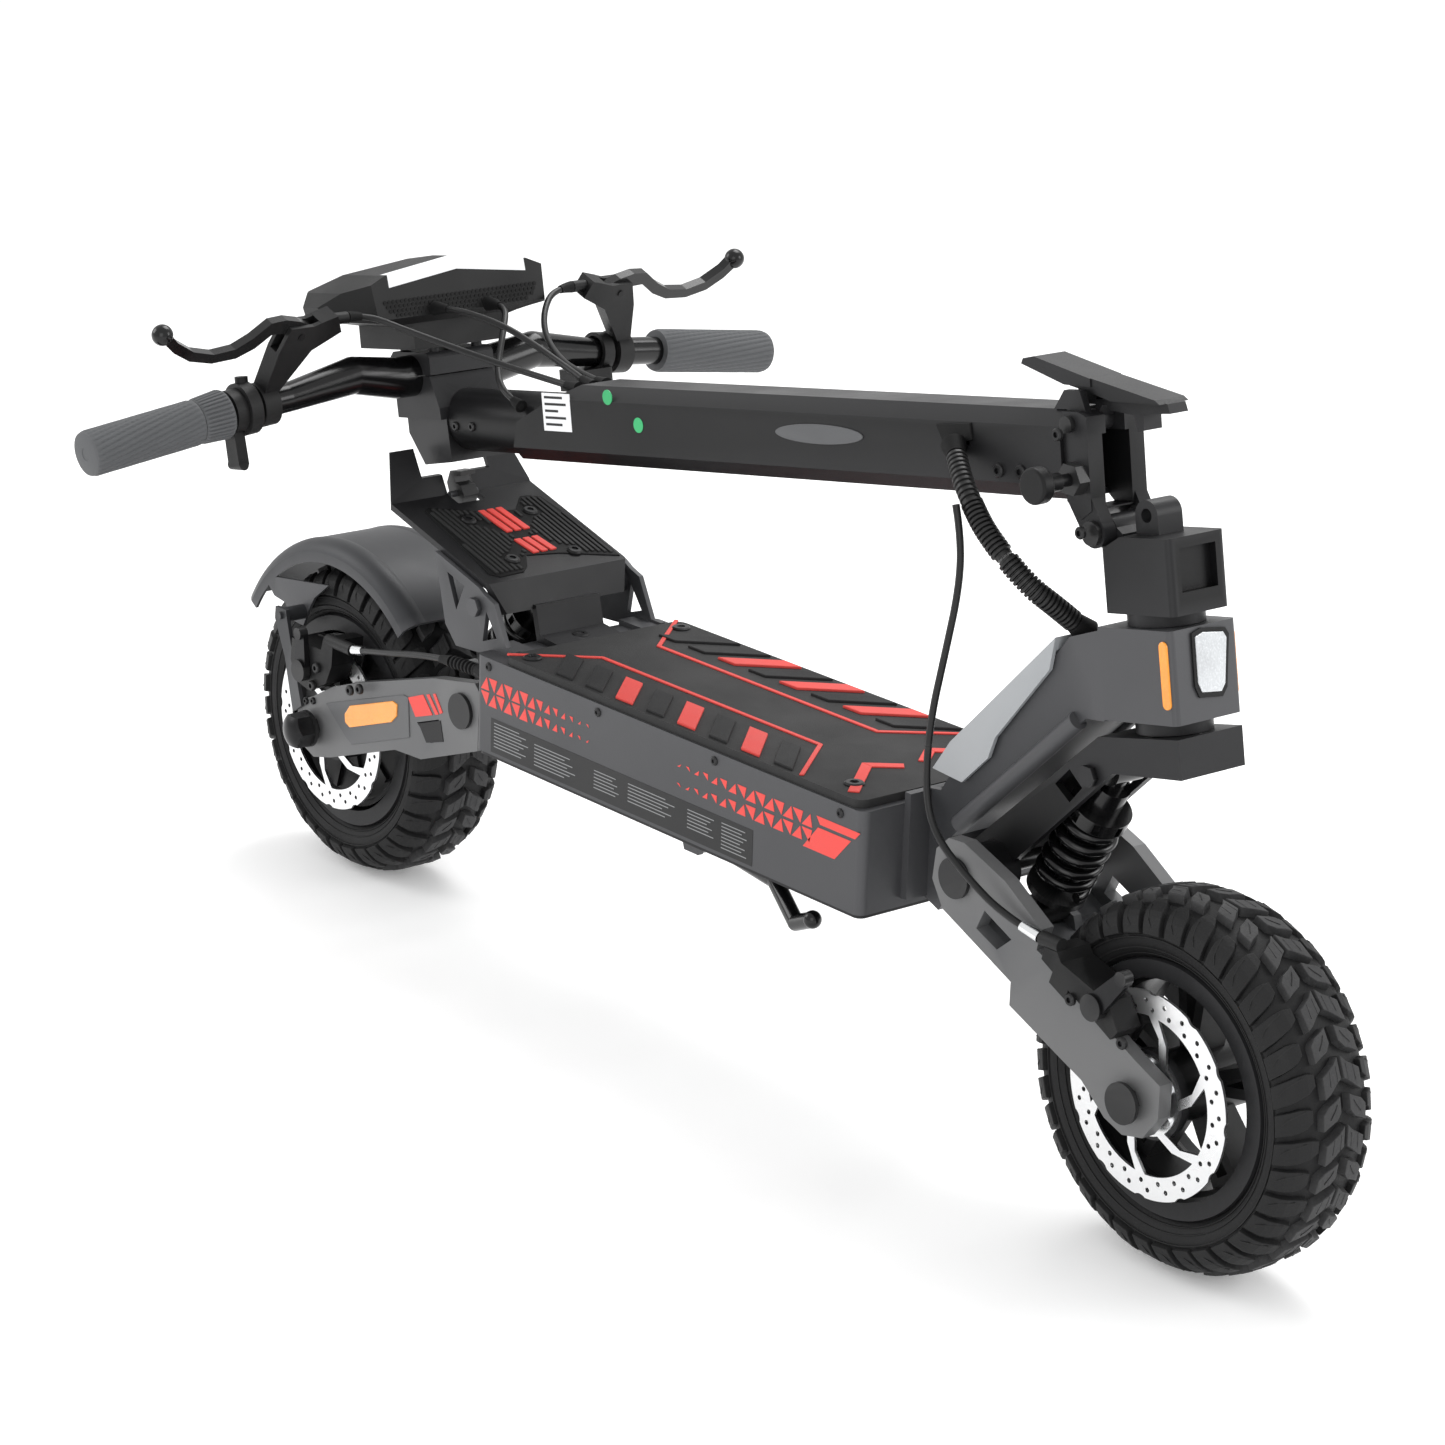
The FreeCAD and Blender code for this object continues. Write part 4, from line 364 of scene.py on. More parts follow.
DISPLAY_LEAD = [stem(705.7, 132, -26), stem(688, 132, -26), stem(668, 128, -20), stem(640, 118, -10),
                stem(614, 104, -3), stem(588, 90, 1), stem(549, 73.6, 0)]
SIDE_LEAD = [stem(705.7, 130, 24), stem(682, 130, 24), stem(664, 112, 6), stem(652, 92, -10),
             stem(640, 78, -20),
             stem(624, 67, -24), stem(606, 60, -25)]
LEVER_AXIS = (STEM_ALONG * 73 + STEM_ABOVE * 40).normalized()
LEVER_AHEAD = (STEM_ALONG * -40 + STEM_ABOVE * 73).normalized()


loom_upper = cable("loom_upper_cord", LOOM_UPPER, 12, "stem", "loom_upper")
loom_lower = cable("loom_lower_cord", LOOM_LOWER, 12, "frame", "loom_lower")
front_upper = cable("front_cable_upper_cord", FRONT_CABLE_UPPER, 5, "stem", "front_brake_cable_upper")
front_lower = cable("front_cable_lower_cord", FRONT_CABLE_LOWER, 5, "front_arm", "front_brake_cable_lower")
rear_cable = cable("rear_cable_cord", REAR_CABLE, 5, "rear_arm", "rear_brake_cable")
display_lead = cable("display_lead_cord", DISPLAY_LEAD, 5, "stem", "handlebar_cables")
side_lead = cable("side_lead_cord", SIDE_LEAD, 5, "stem", "handlebar_cables")


def lever_point(way, y, reach, lift=0.0):
    """A point in a brake lever's own plane, reach ahead of the bar."""
    base = bar_point_inner(168)
    return Vector((base.x, way * y * MM, base.z)) + LEVER_AHEAD * (reach * MM) + LEVER_AXIS * (lift * MM)


def bar_point_inner(y):
    share = (y - 145.0) / 55.0
    return stem(739 + share, 77.5 - 5 * share, y)


lever_cords = []
for way, name in ((-1, "right"), (1, "left")):
    route = [lever_point(way, 105.5, 67), lever_point(way, 88, 67)]
    for s, n, y in ((692, 121, 66), (664, 106, 44), (628, 92, 27), (592, 82, 17), (549, 73.6, 13)):
        route.append(stem(s, n, way * y))
    lever_cords.append(cable(name + "_lever_cord", route, 5, "stem", "handlebar_cables"))


# ---- CAD nodes that keep their shape ----
NODE_MATERIALS = {
    "deck_box": paint_gunmetal, "deck_mat": rubber_mat, "deck_bottom_cover": paint_black,
    "battery_pack": battery_wrap, "motor_controller": alloy, "neck_frame": paint_gunmetal,
    "head_tube": paint_gunmetal, "neck_cover": plastic_grey, "headset_bearings": steel,
    "foot_plate": paint_black,
    "steel_brackets": paint_gunmetal, "rear_pivot_bolt": black_steel, "stem_hook": black_steel,
    "kickstand": paint_gloss, "fork": paint_black, "stem_base": paint_black,
    "front_pivot_bolt": black_steel,
    "front_swing_arm": paint_light, "front_axle": black_steel, "front_caliper": plastic_black,
    "rear_swing_arm": paint_light, "rear_axle": black_steel, "rear_caliper": plastic_black,
    "rear_fender": paint_gunmetal, "front_caliper_arm": black_steel, "rear_caliper_arm": black_steel,
    "front_shock_lower": black_steel, "front_spring": paint_gloss, "front_shock_upper": paint_gloss,
    "rear_shock_lower": black_steel, "rear_spring": paint_gloss, "rear_shock_upper": paint_gloss,
    "front_rim": paint_black, "front_rotor": rotor_steel, "rear_motor_hub": paint_black,
    "rear_rotor": rotor_steel,
    "stem_tube": paint_black, "hinge_casting": paint_black, "stem_pins": black_steel,
    "handlebar": paint_gloss,
    "handlebar_clamp": paint_black, "lever_perches": plastic_black, "bar_controls": plastic_black,
    "display_housing": plastic_black, "display_windows": white_print, "latch_lever": paint_black,
    "lock_knob": plastic_black, "right_brake_lever": paint_gloss, "left_brake_lever": paint_gloss,
    "throttle_lever": plastic_black, "switch_button": red_rubber,
}
for name, material in NODE_MATERIALS.items():
    slots = frame["nodes"][name].material_slots
    for index in range(len(slots)):
        slots[index].material = material


# ---- tyres: a carcass and blocks ----
TREAD_RADIUS = 124.0           # millimetres, to the middle of the blocks
PITCHES = 18                   # repeats of the pattern round the tyre
RING_STEPS = 144
CENTRE_LIFT, PAIR_LIFT = 6.2, 6.0          # block heights over the carcass
SHOULDER_LIFTS = (4.2, 3.6)
SIPE_LIFT = 0.15               # over the block
CROSS = [(0.0, 121.2), (12.0, 121.0), (22.0, 119.6), (29.0, 116.6), (34.0, 111.5), (37.0, 105.0),
         (38.2, 98.0)]
STATIONS = [0.0]
for (y0, r0), (y1, r1) in zip(CROSS, CROSS[1:]):
    STATIONS.append(STATIONS[-1] + math.hypot(y1 - y0, r1 - r0))


def tread_point(hub, turn, across, lift):
    """A point on the tyre: across is the distance over the surface from the middle, in millimetres."""
    size = abs(across)
    index = max(k for k in range(len(STATIONS) - 1) if STATIONS[k] <= size + 1e-9 or k == 0)
    share = (size - STATIONS[index]) / (STATIONS[index + 1] - STATIONS[index])
    (y0, r0), (y1, r1) = CROSS[index], CROSS[index + 1]
    length = math.hypot(y1 - y0, r1 - r0)
    out_y, out_r = (r0 - r1) / length, (y1 - y0) / length
    y = y0 + (y1 - y0) * share + out_y * lift
    radius = r0 + (r1 - r0) * share + out_r * lift
    y = math.copysign(y, across) if across else 0.0
    return hub + Vector((math.cos(turn) * radius, y, math.sin(turn) * radius)) * MM


def tread_block(shape, hub, turn, rows, lift, sunk=-1.2):
    """Rows are (across, first edge, last edge) with the edges along the tread in millimetres."""
    arc = 1 / TREAD_RADIUS
    inset = 0.9
    top = []
    bottom = []
    for index, (across, first, last) in enumerate(rows):
        end = inset if index == 0 else -inset if index == len(rows) - 1 else 0.0
        end = end if rows[-1][0] > rows[0][0] else -end
        top.append([tread_point(hub, turn + (first + inset) * arc, across + end, lift),
                    tread_point(hub, turn + (last - inset) * arc, across + end, lift)])
        bottom.append([tread_point(hub, turn + first * arc, across, sunk),
                       tread_point(hub, turn + last * arc, across, sunk)])
    points = [point for row in top for point in row] + [point for row in bottom for point in row]
    count = 2 * len(rows)
    faces = []
    for index in range(len(rows) - 1):
        a = 2 * index
        faces.append((a, a + 1, a + 3, a + 2))
        faces.append((a, a + 2, count + a + 2, count + a))
        faces.append((a + 1, count + a + 1, count + a + 3, a + 3))
        faces.append((count + a, count + a + 2, count + a + 3, count + a + 1))
    faces.append((0, count, count + 1, 1))
    faces.append((count - 2, count - 1, 2 * count - 1, 2 * count - 2))
    shape.add(points, faces)


def groove_strip(shape, hub, turn, rows, lift, width=0.9):
    """A thin dark sipe drawn on top of a block."""
    tread_block(shape, hub, turn, [(across, along - width / 2, along + width / 2) for across,
                                   along in rows], lift,
                lift - 1.0)


def slant(across, slope, level, forward):
    """How far a block's middle is swept back at a distance from the tread's middle."""
    return -slope * (abs(across) - level) * forward


def sipe_route(points, way, forward):
    """Places along a groove, on one side of the tread."""
    return [(way * across, along * forward) for across, along in points]


def tyre(name, hub, body, node, forward):
    """A hollow carcass with bead ribs, two rows of crown blocks and the shoulder blocks."""
    carcass = Shape()
    inner = [(28.5, 80.2), (29.5, 86), (33, 89.5), (36.2, 93), (38.2, 98), (37.0, 105), (34, 111.5),
             (29, 116.6),
             (22, 119.6), (12, 121.0)]
    profile = inner + [(0, 121.2)] + [(-y, r) for y, r in reversed(inner)]
    profile += [(-22, 80.2), (-22, 86), (-31, 100), (-28, 111), (0, 116), (28, 111), (31, 100), (22, 86),
                (22, 80.2)]
    rows = []
    for step in range(RING_STEPS):
        turn = 2 * math.pi * step / RING_STEPS
        rows.append([hub + Vector((math.cos(turn) * r, y, math.sin(turn) * r)) * MM for y, r in profile])
    count = len(profile)
    faces = []
    for step in range(RING_STEPS):
        for index in range(count):
            a, b = step * count, ((step + 1) % RING_STEPS) * count
            after = (index + 1) % count
            faces.append((a + index, a + after, b + after, b + index))
    carcass.add([point for row in rows for point in row], faces)
    for radius, y, wide in ((90.2, 34.2, 0.5), (94.5, 37.1, 0.5), (101.5, 38.2, 0.6)):
        for way in (-1, 1):
            rib = []
            for step in range(RING_STEPS):
                turn = 2 * math.pi * step / RING_STEPS
                rib.append([hub + Vector((math.cos(turn) * (radius + a), way * (y + b),
                                          math.sin(turn) * (radius + a))) * MM
                            for a, b in ((-wide, -0.6), (-wide * 0.5, 0.5), (wide * 0.5, 0.5),
                                         (wide, -0.6))])
            faces = []
            for step in range(RING_STEPS):
                a, b = step * 4, ((step + 1) % RING_STEPS) * 4
                faces += [(a + k, a + (k + 1) % 4, b + (k + 1) % 4, b + k) for k in range(4)]
            carcass.add([point for row in rib for point in row], faces)
    carcass.build(name + "_carcass", rubber_tyre, body, "tyre", smooth=True, replaces=(node,))
    crown, shoulder, sipes = Shape(), Shape(), Shape()
    for index in range(2 * PITCHES):
        turn = math.pi * index / PITCHES
        if index % 2 == 0:
            for way in (-1, 1):
                rows = []
                for across in (0.45, 6.0, 12.0, 16.5):
                    middle = slant(across, 0.55, 8, forward)
                    rows.append((way * across, middle - 7.0 - (1.5 if across > 10 else 0),
                                 middle + 7.0 + (1.5 if across < 6 else 0)))
                tread_block(crown, hub, turn, rows, CENTRE_LIFT)
                for route in (((3.5, 6.2), (5.5, -3.5)), ((9.5, 4.2), (12.0, -5.0))):
                    groove_strip(sipes, hub, turn, sipe_route(route, way, forward),
                                 CENTRE_LIFT + SIPE_LIFT, 1.1)
        else:
            for way in (-1, 1):
                rows = []
                for across in (3.2, 8.0, 14.0, 19.0):
                    middle = slant(across, 0.45, 9, forward)
                    rows.append((way * across, middle - 7.0 + (2.5 if across < 5 else 0),
                                 middle + 7.5 - (2.0 if across > 14 else 0)))
                tread_block(crown, hub, turn, rows, PAIR_LIFT)
                route = sipe_route(((6.5, 4.5), (9.5, 1.0), (13.5, -3.5)), way, forward)
                groove_strip(sipes, hub, turn, route, PAIR_LIFT + SIPE_LIFT, 1.0)
        for way in (-1, 1):
            start = 19.5 if index % 2 == 0 else 22.5
            rows = []
            for across, wide in ((start, 9.5), (start + 5, 14.5), (31.0, 17.0), (36.0, 17.8), (41.0, 18.2),
                                 (46.0, 18.4)):
                middle = slant(across, 0.30, 24, forward)
                rows.append((way * across, middle - wide * 0.5, middle + wide * 0.5))
            lift = SHOULDER_LIFTS[index % 2]
            tread_block(shoulder, hub, turn, rows, lift)
            route = sipe_route(((27, 4.0), (32, 2.0), (37, -1.0), (42, -5.0)), way, forward)
            groove_strip(sipes, hub, turn, route, lift + SIPE_LIFT, 0.9)
    crown.build(name + "_crown_blocks", rubber_tread, body, "tyre", bevel=0.5)
    shoulder.build(name + "_shoulder_blocks", rubber_tyre, body, "tyre", bevel=0.5)
    sipes.build(name + "_sipes", rubber_tyre, body, "tyre")


tyre("front_tyre", FRONT_WHEEL, "front_wheel", "front_tyre", 1)
tyre("rear_tyre", REAR_WHEEL, "rear_wheel", "rear_tyre", 1)


# ---- grips ----
def grip_rows(way, y0, y1, profile, steps=60, around=120):
    """A skin round the bar's centre line; profile gives the radius for a share of the length and a turn."""
    start, end = bar_point(way * y0), bar_point(way * y1)
    axis = (end - start).normalized()
    side = STEM_ALONG.copy()
    other = axis.cross(side).normalized()
    side = other.cross(axis).normalized()
    rows = []
    for step in range(steps + 1):
        share = step / steps
        centre = start.lerp(end, share)
        rows.append([centre + (side * math.cos(turn) + other * math.sin(turn)) * (profile(share, turn) * MM)
                     for turn in (2 * math.pi * k / around for k in range(around))])
    return rows


def grip_radius(share, turn):
    ridge = 0.5 + 0.5 * math.sin(26 * turn + share * 26)
    edge = min(1.0, share * 40, (1 - share) * 40)
    return 16.4 + 1.0 * edge * min(1.0, ridge * 1.8)


def collar_radius(share, turn):
    ridge = 0.5 + 0.5 * math.sin(34 * turn)
    swell = 17.4 + 1.8 * (1 - share)
    edge = min(1.0, share * 12, (1 - share) * 12)
    return swell - 1.2 + 1.2 * edge * min(1.0, ridge * 1.8)


grip_shape = Shape()
for way in (-1, 1):
    start = 226 if way < 0 else 208
    grip_shape.skin(grip_rows(way, start, 318.6, grip_radius))
    grip_shape.lathe(bar_point(way * 318.4), bar_point(way * 319.6) - bar_point(way * 300),
                     [(0, 16.6), (1.0, 16.2), (1.6, 15.0), (1.6, 5.0), (1.2, 4.6)], 48)
grip_shape.build("grip_sleeves", rubber_grip, "stem", "grip_rubber", smooth=True, replaces=("grips",))
collar = Shape()
collar.skin(grip_rows(-1, 201, 225.4, collar_radius, 24, 204))
collar.build("throttle_side_collar", rubber_grip, "stem", "grip_rubber", smooth=True)


# ---- deck mat ----
MAT_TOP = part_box("deck_mat")[1].z / MM
DECK_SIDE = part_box("deck_box")[1].y / MM


def mat_point(x, y, z=0.0):
    return place(x, y, MAT_TOP + z)


def strip(shape, points, width, height, z=0.0):
    """A flat band of constant width along a route over the mat."""
    left, right_side = [], []
    for index, point in enumerate(points):
        before = Vector(points[max(index - 1, 0)])
        after = Vector(points[min(index + 1, len(points) - 1)])
        here = Vector(point)
        first = (here - before).normalized() if index else (after - here).normalized()
        second = (after - here).normalized() if index < len(points) - 1 else first
        along = (first + second).normalized()
        normal = Vector((-along.y, along.x))
        reach = width / 2 / max(0.5, normal.dot(Vector((-first.y, first.x))))
        left.append(here + normal * reach)
        right_side.append(here - normal * reach)
    for index in range(len(points) - 1):
        outline = [left[index], left[index + 1], right_side[index + 1], right_side[index]]
        shape.prism([mat_point(p.x, p.y, z) for p in outline], Vector((0, 0, height * MM)))


red_lines, red_blocks, dark_blocks = Shape(), Shape(), Shape()
for way in (-1, 1):
    strip(red_lines, [(-184, way * 80), (-138, way * 26.5), (110, way * 26.5), (153, way * 80)], 3.4, 1.3,
          -0.2)
    strip(red_lines, [(200, way * 74), (162, way * 29), (178, way * 9)], 8.0, 1.3, -0.2)
    for index in range(8):
        x = -133 + 35.4 * index
        outline = [(x - 9.5 - 17, way * 43), (x + 10.5 - 17, way * 43), (x + 10.5 + 17, way * 79),
                   (x - 9.5 + 17, way * 79)]
        target = red_blocks if index in (2, 4, 6) else dark_blocks
        target.prism([mat_point(a, b, -0.3) for a, b in outline], Vector((0, 0, 2.3 * MM)))
red_lines.build("mat_red_lines", red_rubber, "frame", "mat_rubber", bevel=0.4)
red_blocks.build("mat_red_blocks", red_rubber, "frame", "mat_rubber", bevel=0.6)
dark_blocks.build("mat_dark_blocks", rubber_mat, "frame", "mat_rubber", bevel=0.6)

# ---- deck sides: mosaic, plain label strip, screws ----
mosaic = Shape()


def mosaic_patch(way, outline):
    mosaic.prism([place(x, way * DECK_SIDE, z) for x, z in outline], Vector((0, way * 0.22 * MM, 0)))


def mosaic_triangle(way, x, z, half, tall, up, lean):
    """A small triangle, leaning forward; up says which way it points."""
    rise = tall if up else -tall
    mosaic_patch(way, [(x - half - lean, z - rise), (x + half - lean, z - rise), (x + lean, z + rise)])


for way in (-1, 1):
    for row in (0, 1):
        for index in range(15):
            size = max(0.25, 1.0 - max(0, index - 6) * 0.10)
            mosaic_triangle(way, 168.0 - 10.0 * index, 235.5 - 11.0 * row - 0.25 * index * row, 5.4 * size,
                            4.6 * size, (index + row) % 2 == 0, 1.5)
    mosaic_patch(way, [(176, 241), (221, 241), (216, 235.5), (180, 235.5)])
    mosaic_patch(way, [(178, 233), (212, 233), (196, 215.5), (163, 215.5)])
    for row in (0, 1):
        for index in range(14):
            size = max(0.22, 1.0 - max(0, index - 5) * 0.105)
            mosaic_triangle(way, -203.0 + 9.6 * index, 236.0 - 11.5 * row, 5.2 * size, 5.0 * size,
                            (index + row) % 2 == 0, 1.0)
mosaic.build("deck_side_mosaic", red_paint, "frame", "frame_paint")

label, label_marks, studs = Shape(), Shape(), Shape()
label.prism([place(-196, -DECK_SIDE, 184.5), place(110, -DECK_SIDE, 184.5), place(110, -DECK_SIDE, 211),
             place(-196, -DECK_SIDE, 211)], Vector((0, -0.2 * MM, 0)))
for x0, x1, z0, z1 in ((-192, -146, 186, 209), (-142, -88, 186, 206), (-70, -38, 188, 206),
                       (-30, 28, 190, 207),
                       (38, 70, 190, 207), (76, 106, 187, 208)):
    lines = int((z1 - z0) / 2.6)
    for index in range(lines):
        z = z1 - 2.6 * index - 1.5
        end = x1 - (x1 - x0) * (0.08 + 0.3 * ((index * 7 + int(x1)) % 5) / 5)
        label_marks.prism([place(x0, -DECK_SIDE, z), place(end, -DECK_SIDE, z),
                           place(end, -DECK_SIDE, z + 0.7),
                           place(x0, -DECK_SIDE, z + 0.7)], Vector((0, -0.3 * MM, 0)))
label.build("deck_label_strip", dark_print, "frame", "frame_paint")
label_marks.build("deck_label_lines", grey_print, "frame", "frame_paint")
SIDE_STUD = [(0, 3.4), (1.0, 3.4), (1.8, 2.6), (1.9, 1.4), (1.2, 1.2)]
MAT_STUD = [(0, 7.2), (1.2, 7.2), (2.2, 6.0), (2.3, 3.2), (1.3, 2.8)]
SUNK_STUD = [(0, 7.2), (2.2, 7.2), (3.4, 6.0), (3.5, 3.2), (2.3, 2.8)]
for way in (-1, 1):
    for x in (-200, -67, 66, 200):
        studs.lathe(place(x, way * (DECK_SIDE - 0.3), 249.5), (0, way, 0), SIDE_STUD, 20)
for x, y in ((-166, 70), (-166, -70), (187, 62), (187, -62)):
    studs.lathe(mat_point(x, y, -0.2), (0, 0, 1), MAT_STUD, 28)
studs.lathe(place(-200, 0, MAT_TOP - 3.5), (0, 0, 1), SUNK_STUD, 28)
studs.build("deck_screws", black_steel, "frame", "steel", smooth=True)

# ---- foot plate: ribbed pad, screws, red bars ----
PLATE_ALONG = (place(-354, 0, 337) - place(-229, 0, 303)).normalized()
PLATE_UP = Vector((-PLATE_ALONG.z, 0, PLATE_ALONG.x)) * -1.0


def plate_point(a, b, lift=0.0):
    return place(-229, b, 303) + PLATE_ALONG * (a * MM) + PLATE_UP * (lift * MM)


PAD_OUTLINE = [(112, -47), (115, -42), (105, -18), (97, -4), (92, 25), (109, 41), (109, 48), (104, 58),
               (53, 63.6),
               (5, 63), (23, 18), (28, -10), (14, -19), (7, -27), (6, -50), (12, -56)]
PAD_SCREWS = [(87.4, -22.7), (85.6, 34.5), (25, -25.3), (21.7, 31.2)]


def inside(a, b, outline):
    """Whether a point lies inside an outline."""
    hit = False
    for (a0, b0), (a1, b1) in zip(outline, outline[1:] + outline[:1]):
        if (b0 > b) != (b1 > b) and a < a0 + (a1 - a0) * (b - b0) / (b1 - b0):
            hit = not hit
    return hit


def line_distance(a, b, start, end):
    route = Vector(end) - Vector(start)
    share = max(0.0, min(1.0, (Vector((a, b)) - Vector(start)).dot(route) / route.length_squared))
    return (Vector(start) + route * share - Vector((a, b))).length


def rib_allowed(a, b):
    """Ribs keep clear of the pad's edge, the screws, the bands between them and the red bars."""
    if not all(inside(a + da, b + db, PAD_OUTLINE) for da, db in ((3, 0), (-3, 0), (0, 2.5), (0, -2.5))):
        return False
    bands = ((PAD_SCREWS[0], PAD_SCREWS[3]), (PAD_SCREWS[1], PAD_SCREWS[2]))
    if any(line_distance(a, b, start, end) < 4.5 for start, end in bands):
        return False
    if min(math.hypot(a - c, b - d) for c, d in PAD_SCREWS) < 8.5:
        return False
    return not (59 < a < 100 and -9 < b < 22) and not (25 < a < 53 and -8 < b < 20)


pad, pad_ribs, pad_red, pad_screws = Shape(), Shape(), Shape(), Shape()
pad.prism([plate_point(a, b, -0.6) for a, b in PAD_OUTLINE], PLATE_UP * (1.6 * MM))
for index in range(27):
    b = -54.0 + 4.5 * index
    run = []
    for step in range(0, 121):
        if rib_allowed(step, b):
            run.append(step)
        elif run:
            if len(run) > 3:
                rib = ((run[0], b - 1.3), (run[-1], b - 1.3), (run[-1], b + 1.3), (run[0], b + 1.3))
                pad_ribs.prism([plate_point(u, v, 0.6) for u, v in rib], PLATE_UP * (1.7 * MM))
            run = []
for low, high, first in ((62, 97, -6), (28, 50, -5)):
    for index in range(3):
        b = first + 8.2 * index
        pad_red.prism([plate_point(low, b + 1.5, 0.5), plate_point(high, b - 1.5, 0.5),
                       plate_point(high, b + 4.2, 0.5),
                       plate_point(low, b + 7.2, 0.5)], PLATE_UP * (1.9 * MM))
for a, b in PAD_SCREWS:
    pad_screws.lathe(plate_point(a, b, 0.6), PLATE_UP, [(0, 6.0), (1.2, 6.0), (2.4, 4.8), (2.5, 2.6),
                                                        (1.4, 2.4)], 28)
pad.build("foot_plate_pad", black_pad, "frame", "mat_rubber", bevel=0.5)
pad_ribs.build("foot_plate_ribs", rubber_mat, "frame", "mat_rubber", bevel=0.4)
pad_red.build("foot_plate_red_bars", red_rubber, "frame", "mat_rubber", bevel=0.4)
pad_screws.build("foot_plate_screws", black_steel, "frame", "steel", smooth=True)


# ---- flat marks and panels on faces that look along Y ----
def side_patch(shape, outline, y, thick):
    """A thin panel standing out of a face at y; the outline is (x, z) pairs."""
    way = math.copysign(1.0, y)
    shape.prism([place(x, y - way * 0.4, z) for x, z in outline], Vector((0, way * (thick + 0.4) * MM, 0)))


def capsule(start, end, radius, steps=10):
    """The outline of a bar with round ends."""
    route = Vector(end) - Vector(start)
    facing = math.atan2(route.y, route.x)
    points = []
    for centre, turn in ((start, facing + math.pi / 2), (end, facing - math.pi / 2)):
        for step in range(steps + 1):
            angle = turn + math.pi * step / steps
            points.append((centre[0] + radius * math.cos(angle), centre[1] + radius * math.sin(angle)))
    return points


def bolt_face(shape, at, axis, radius, height=2.4):
    shape.lathe(at, axis, [(-0.6, radius), (height * 0.6, radius), (height, radius * 0.82),
                           (height, radius * 0.45),
                           (height * 0.45, radius * 0.42)], 24)


fins, fin_reflectors, arm_red, arm_black, arm_screws = Shape(), Shape(), Shape(), Shape(), Shape()
for way in (-1, 1):
    face = way * 64.0
    side_patch(fins, [(-446.1, 152.3), (-431.1, 157.6), (-338.6, 187.8), (-332.3, 187.2), (-330.4, 155.1),
                      (-409.5, 127.7), (-417.7, 131.3)], face, 0.9)
    side_patch(fin_reflectors, [(-417.9, 151.2), (-410.7, 160), (-352.3, 179.3), (-345.9, 178.1),
                                (-346.5, 168.3),
                                (-353.8, 161.5), (-410.6, 141.8), (-417.2, 144.5)], face, 2.0)
    side_patch(arm_red, [(-332.9, 187), (-312.8, 194.6), (-300.1, 181.4), (-322.6, 174)], face, 0.5)
    side_patch(arm_red, [(-308.4, 195.7), (-304.7, 197.1), (-292.1, 184.1), (-296.4, 182.6)], face, 0.5)
    side_patch(arm_red, [(-299.7, 198.6), (-296.6, 199.6), (-286.8, 186.8), (-290.2, 185)], face, 0.5)
    side_patch(arm_black, [(-318.5, 169.8), (-289.8, 179.8), (-285.5, 163.8), (-308.3, 156.9)], face, 0.5)
    for x, z in ((-474.1, 147.1), (-464, 149.8)):
        bolt_face(arm_screws, place(x, face, z), (0, way, 0), 3.0, 2.0)
fins.build("rear_arm_panels", paint_light, "rear_arm", "frame_paint", bevel=0.5)
fin_reflectors.build("rear_arm_reflectors", amber, "rear_arm", "window_plastic", bevel=0.7)
arm_red.build("rear_arm_marks", red_paint, "rear_arm", "frame_paint")
arm_black.build("rear_arm_windows", paint_black, "rear_arm", "frame_paint", bevel=0.2)
arm_screws.build("rear_arm_screws", black_steel, "rear_arm", "steel", smooth=True)

# ---- stem: badge, label, stickers, screws, grommet ----
STEM_SIDE = 28.0
badge, stem_label, stem_lines, stickers, stem_screws = Shape(), Shape(), Shape(), Shape(), Shape()
for way in (-1, 1):
    centre = place(98, way * (STEM_SIDE - 0.3), 482)
    badge.prism([centre + STEM_ALONG * (46 * MM * math.cos(2 * math.pi * k / 56)) +
                 STEM_ABOVE * (6.8 * MM * math.sin(2 * math.pi * k / 56)) for k in range(56)],
                Vector((0, way * 1.1 * MM, 0)))
centre = place(-197, -STEM_SIDE + 0.3, 436.5)
stem_label.prism([centre + STEM_ALONG * (a * MM) + STEM_ABOVE * (b * MM)
                  for a, b in ((-17, -14), (17, -14), (17, 14), (-17, 14))], Vector((0, -0.55 * MM, 0)))
for index, (start, end) in enumerate(((-14, 8), (-14, 12), (-14, 2), (-14, 11), (-14, 6))):
    rise = 10 - 5 * index
    stem_lines.prism([centre + STEM_ALONG * (a * MM) + STEM_ABOVE * (b * MM)
                      for a, b in ((-end, rise), (-start, rise), (-start, rise + 1.8), (-end, rise + 1.8))],
                     Vector((0, -0.75 * MM, 0)))
for x, z in ((-137, 460), (-100, 447)):
    stickers.lathe(place(x, -STEM_SIDE + 0.3, z), (0, -1, 0), [(0, 5.5), (0.6, 5.5)], 36)
for x, z in ((277, 495.4), (297.7, 499.1)):
    bolt_face(stem_screws, place(x, -STEM_SIDE, z), (0, -1, 0), 4.6)
for x, z in ((-329, 398), (-308, 402)):
    for way in (-1, 1):
        bolt_face(stem_screws, place(x, way * 23.8, z), (0, way, 0), 3.6, 2.0)
badge.build("stem_badges", paint_light, "stem", "frame_paint", bevel=0.3)
stem_label.build("stem_label", white_print, "stem", "frame_paint")
stem_lines.build("stem_label_lines", dark_print, "stem", "frame_paint")
stickers.build("stem_stickers", green_print, "stem", "frame_paint")
stem_screws.build("stem_screws", black_steel, "stem", "steel", smooth=True)

grommet = Shape()
grommet.prism([place(x, -STEM_SIDE + 0.5, z) for x, z in ((215.5, 513.5), (248.6, 521.4), (251.4, 510.4),
                                                          (224.4, 501.8))],
              Vector((0, -2.0 * MM, 0)))
grommet.build("stem_side_grommet", black_pad, "stem", "cable_black", bevel=0.6)


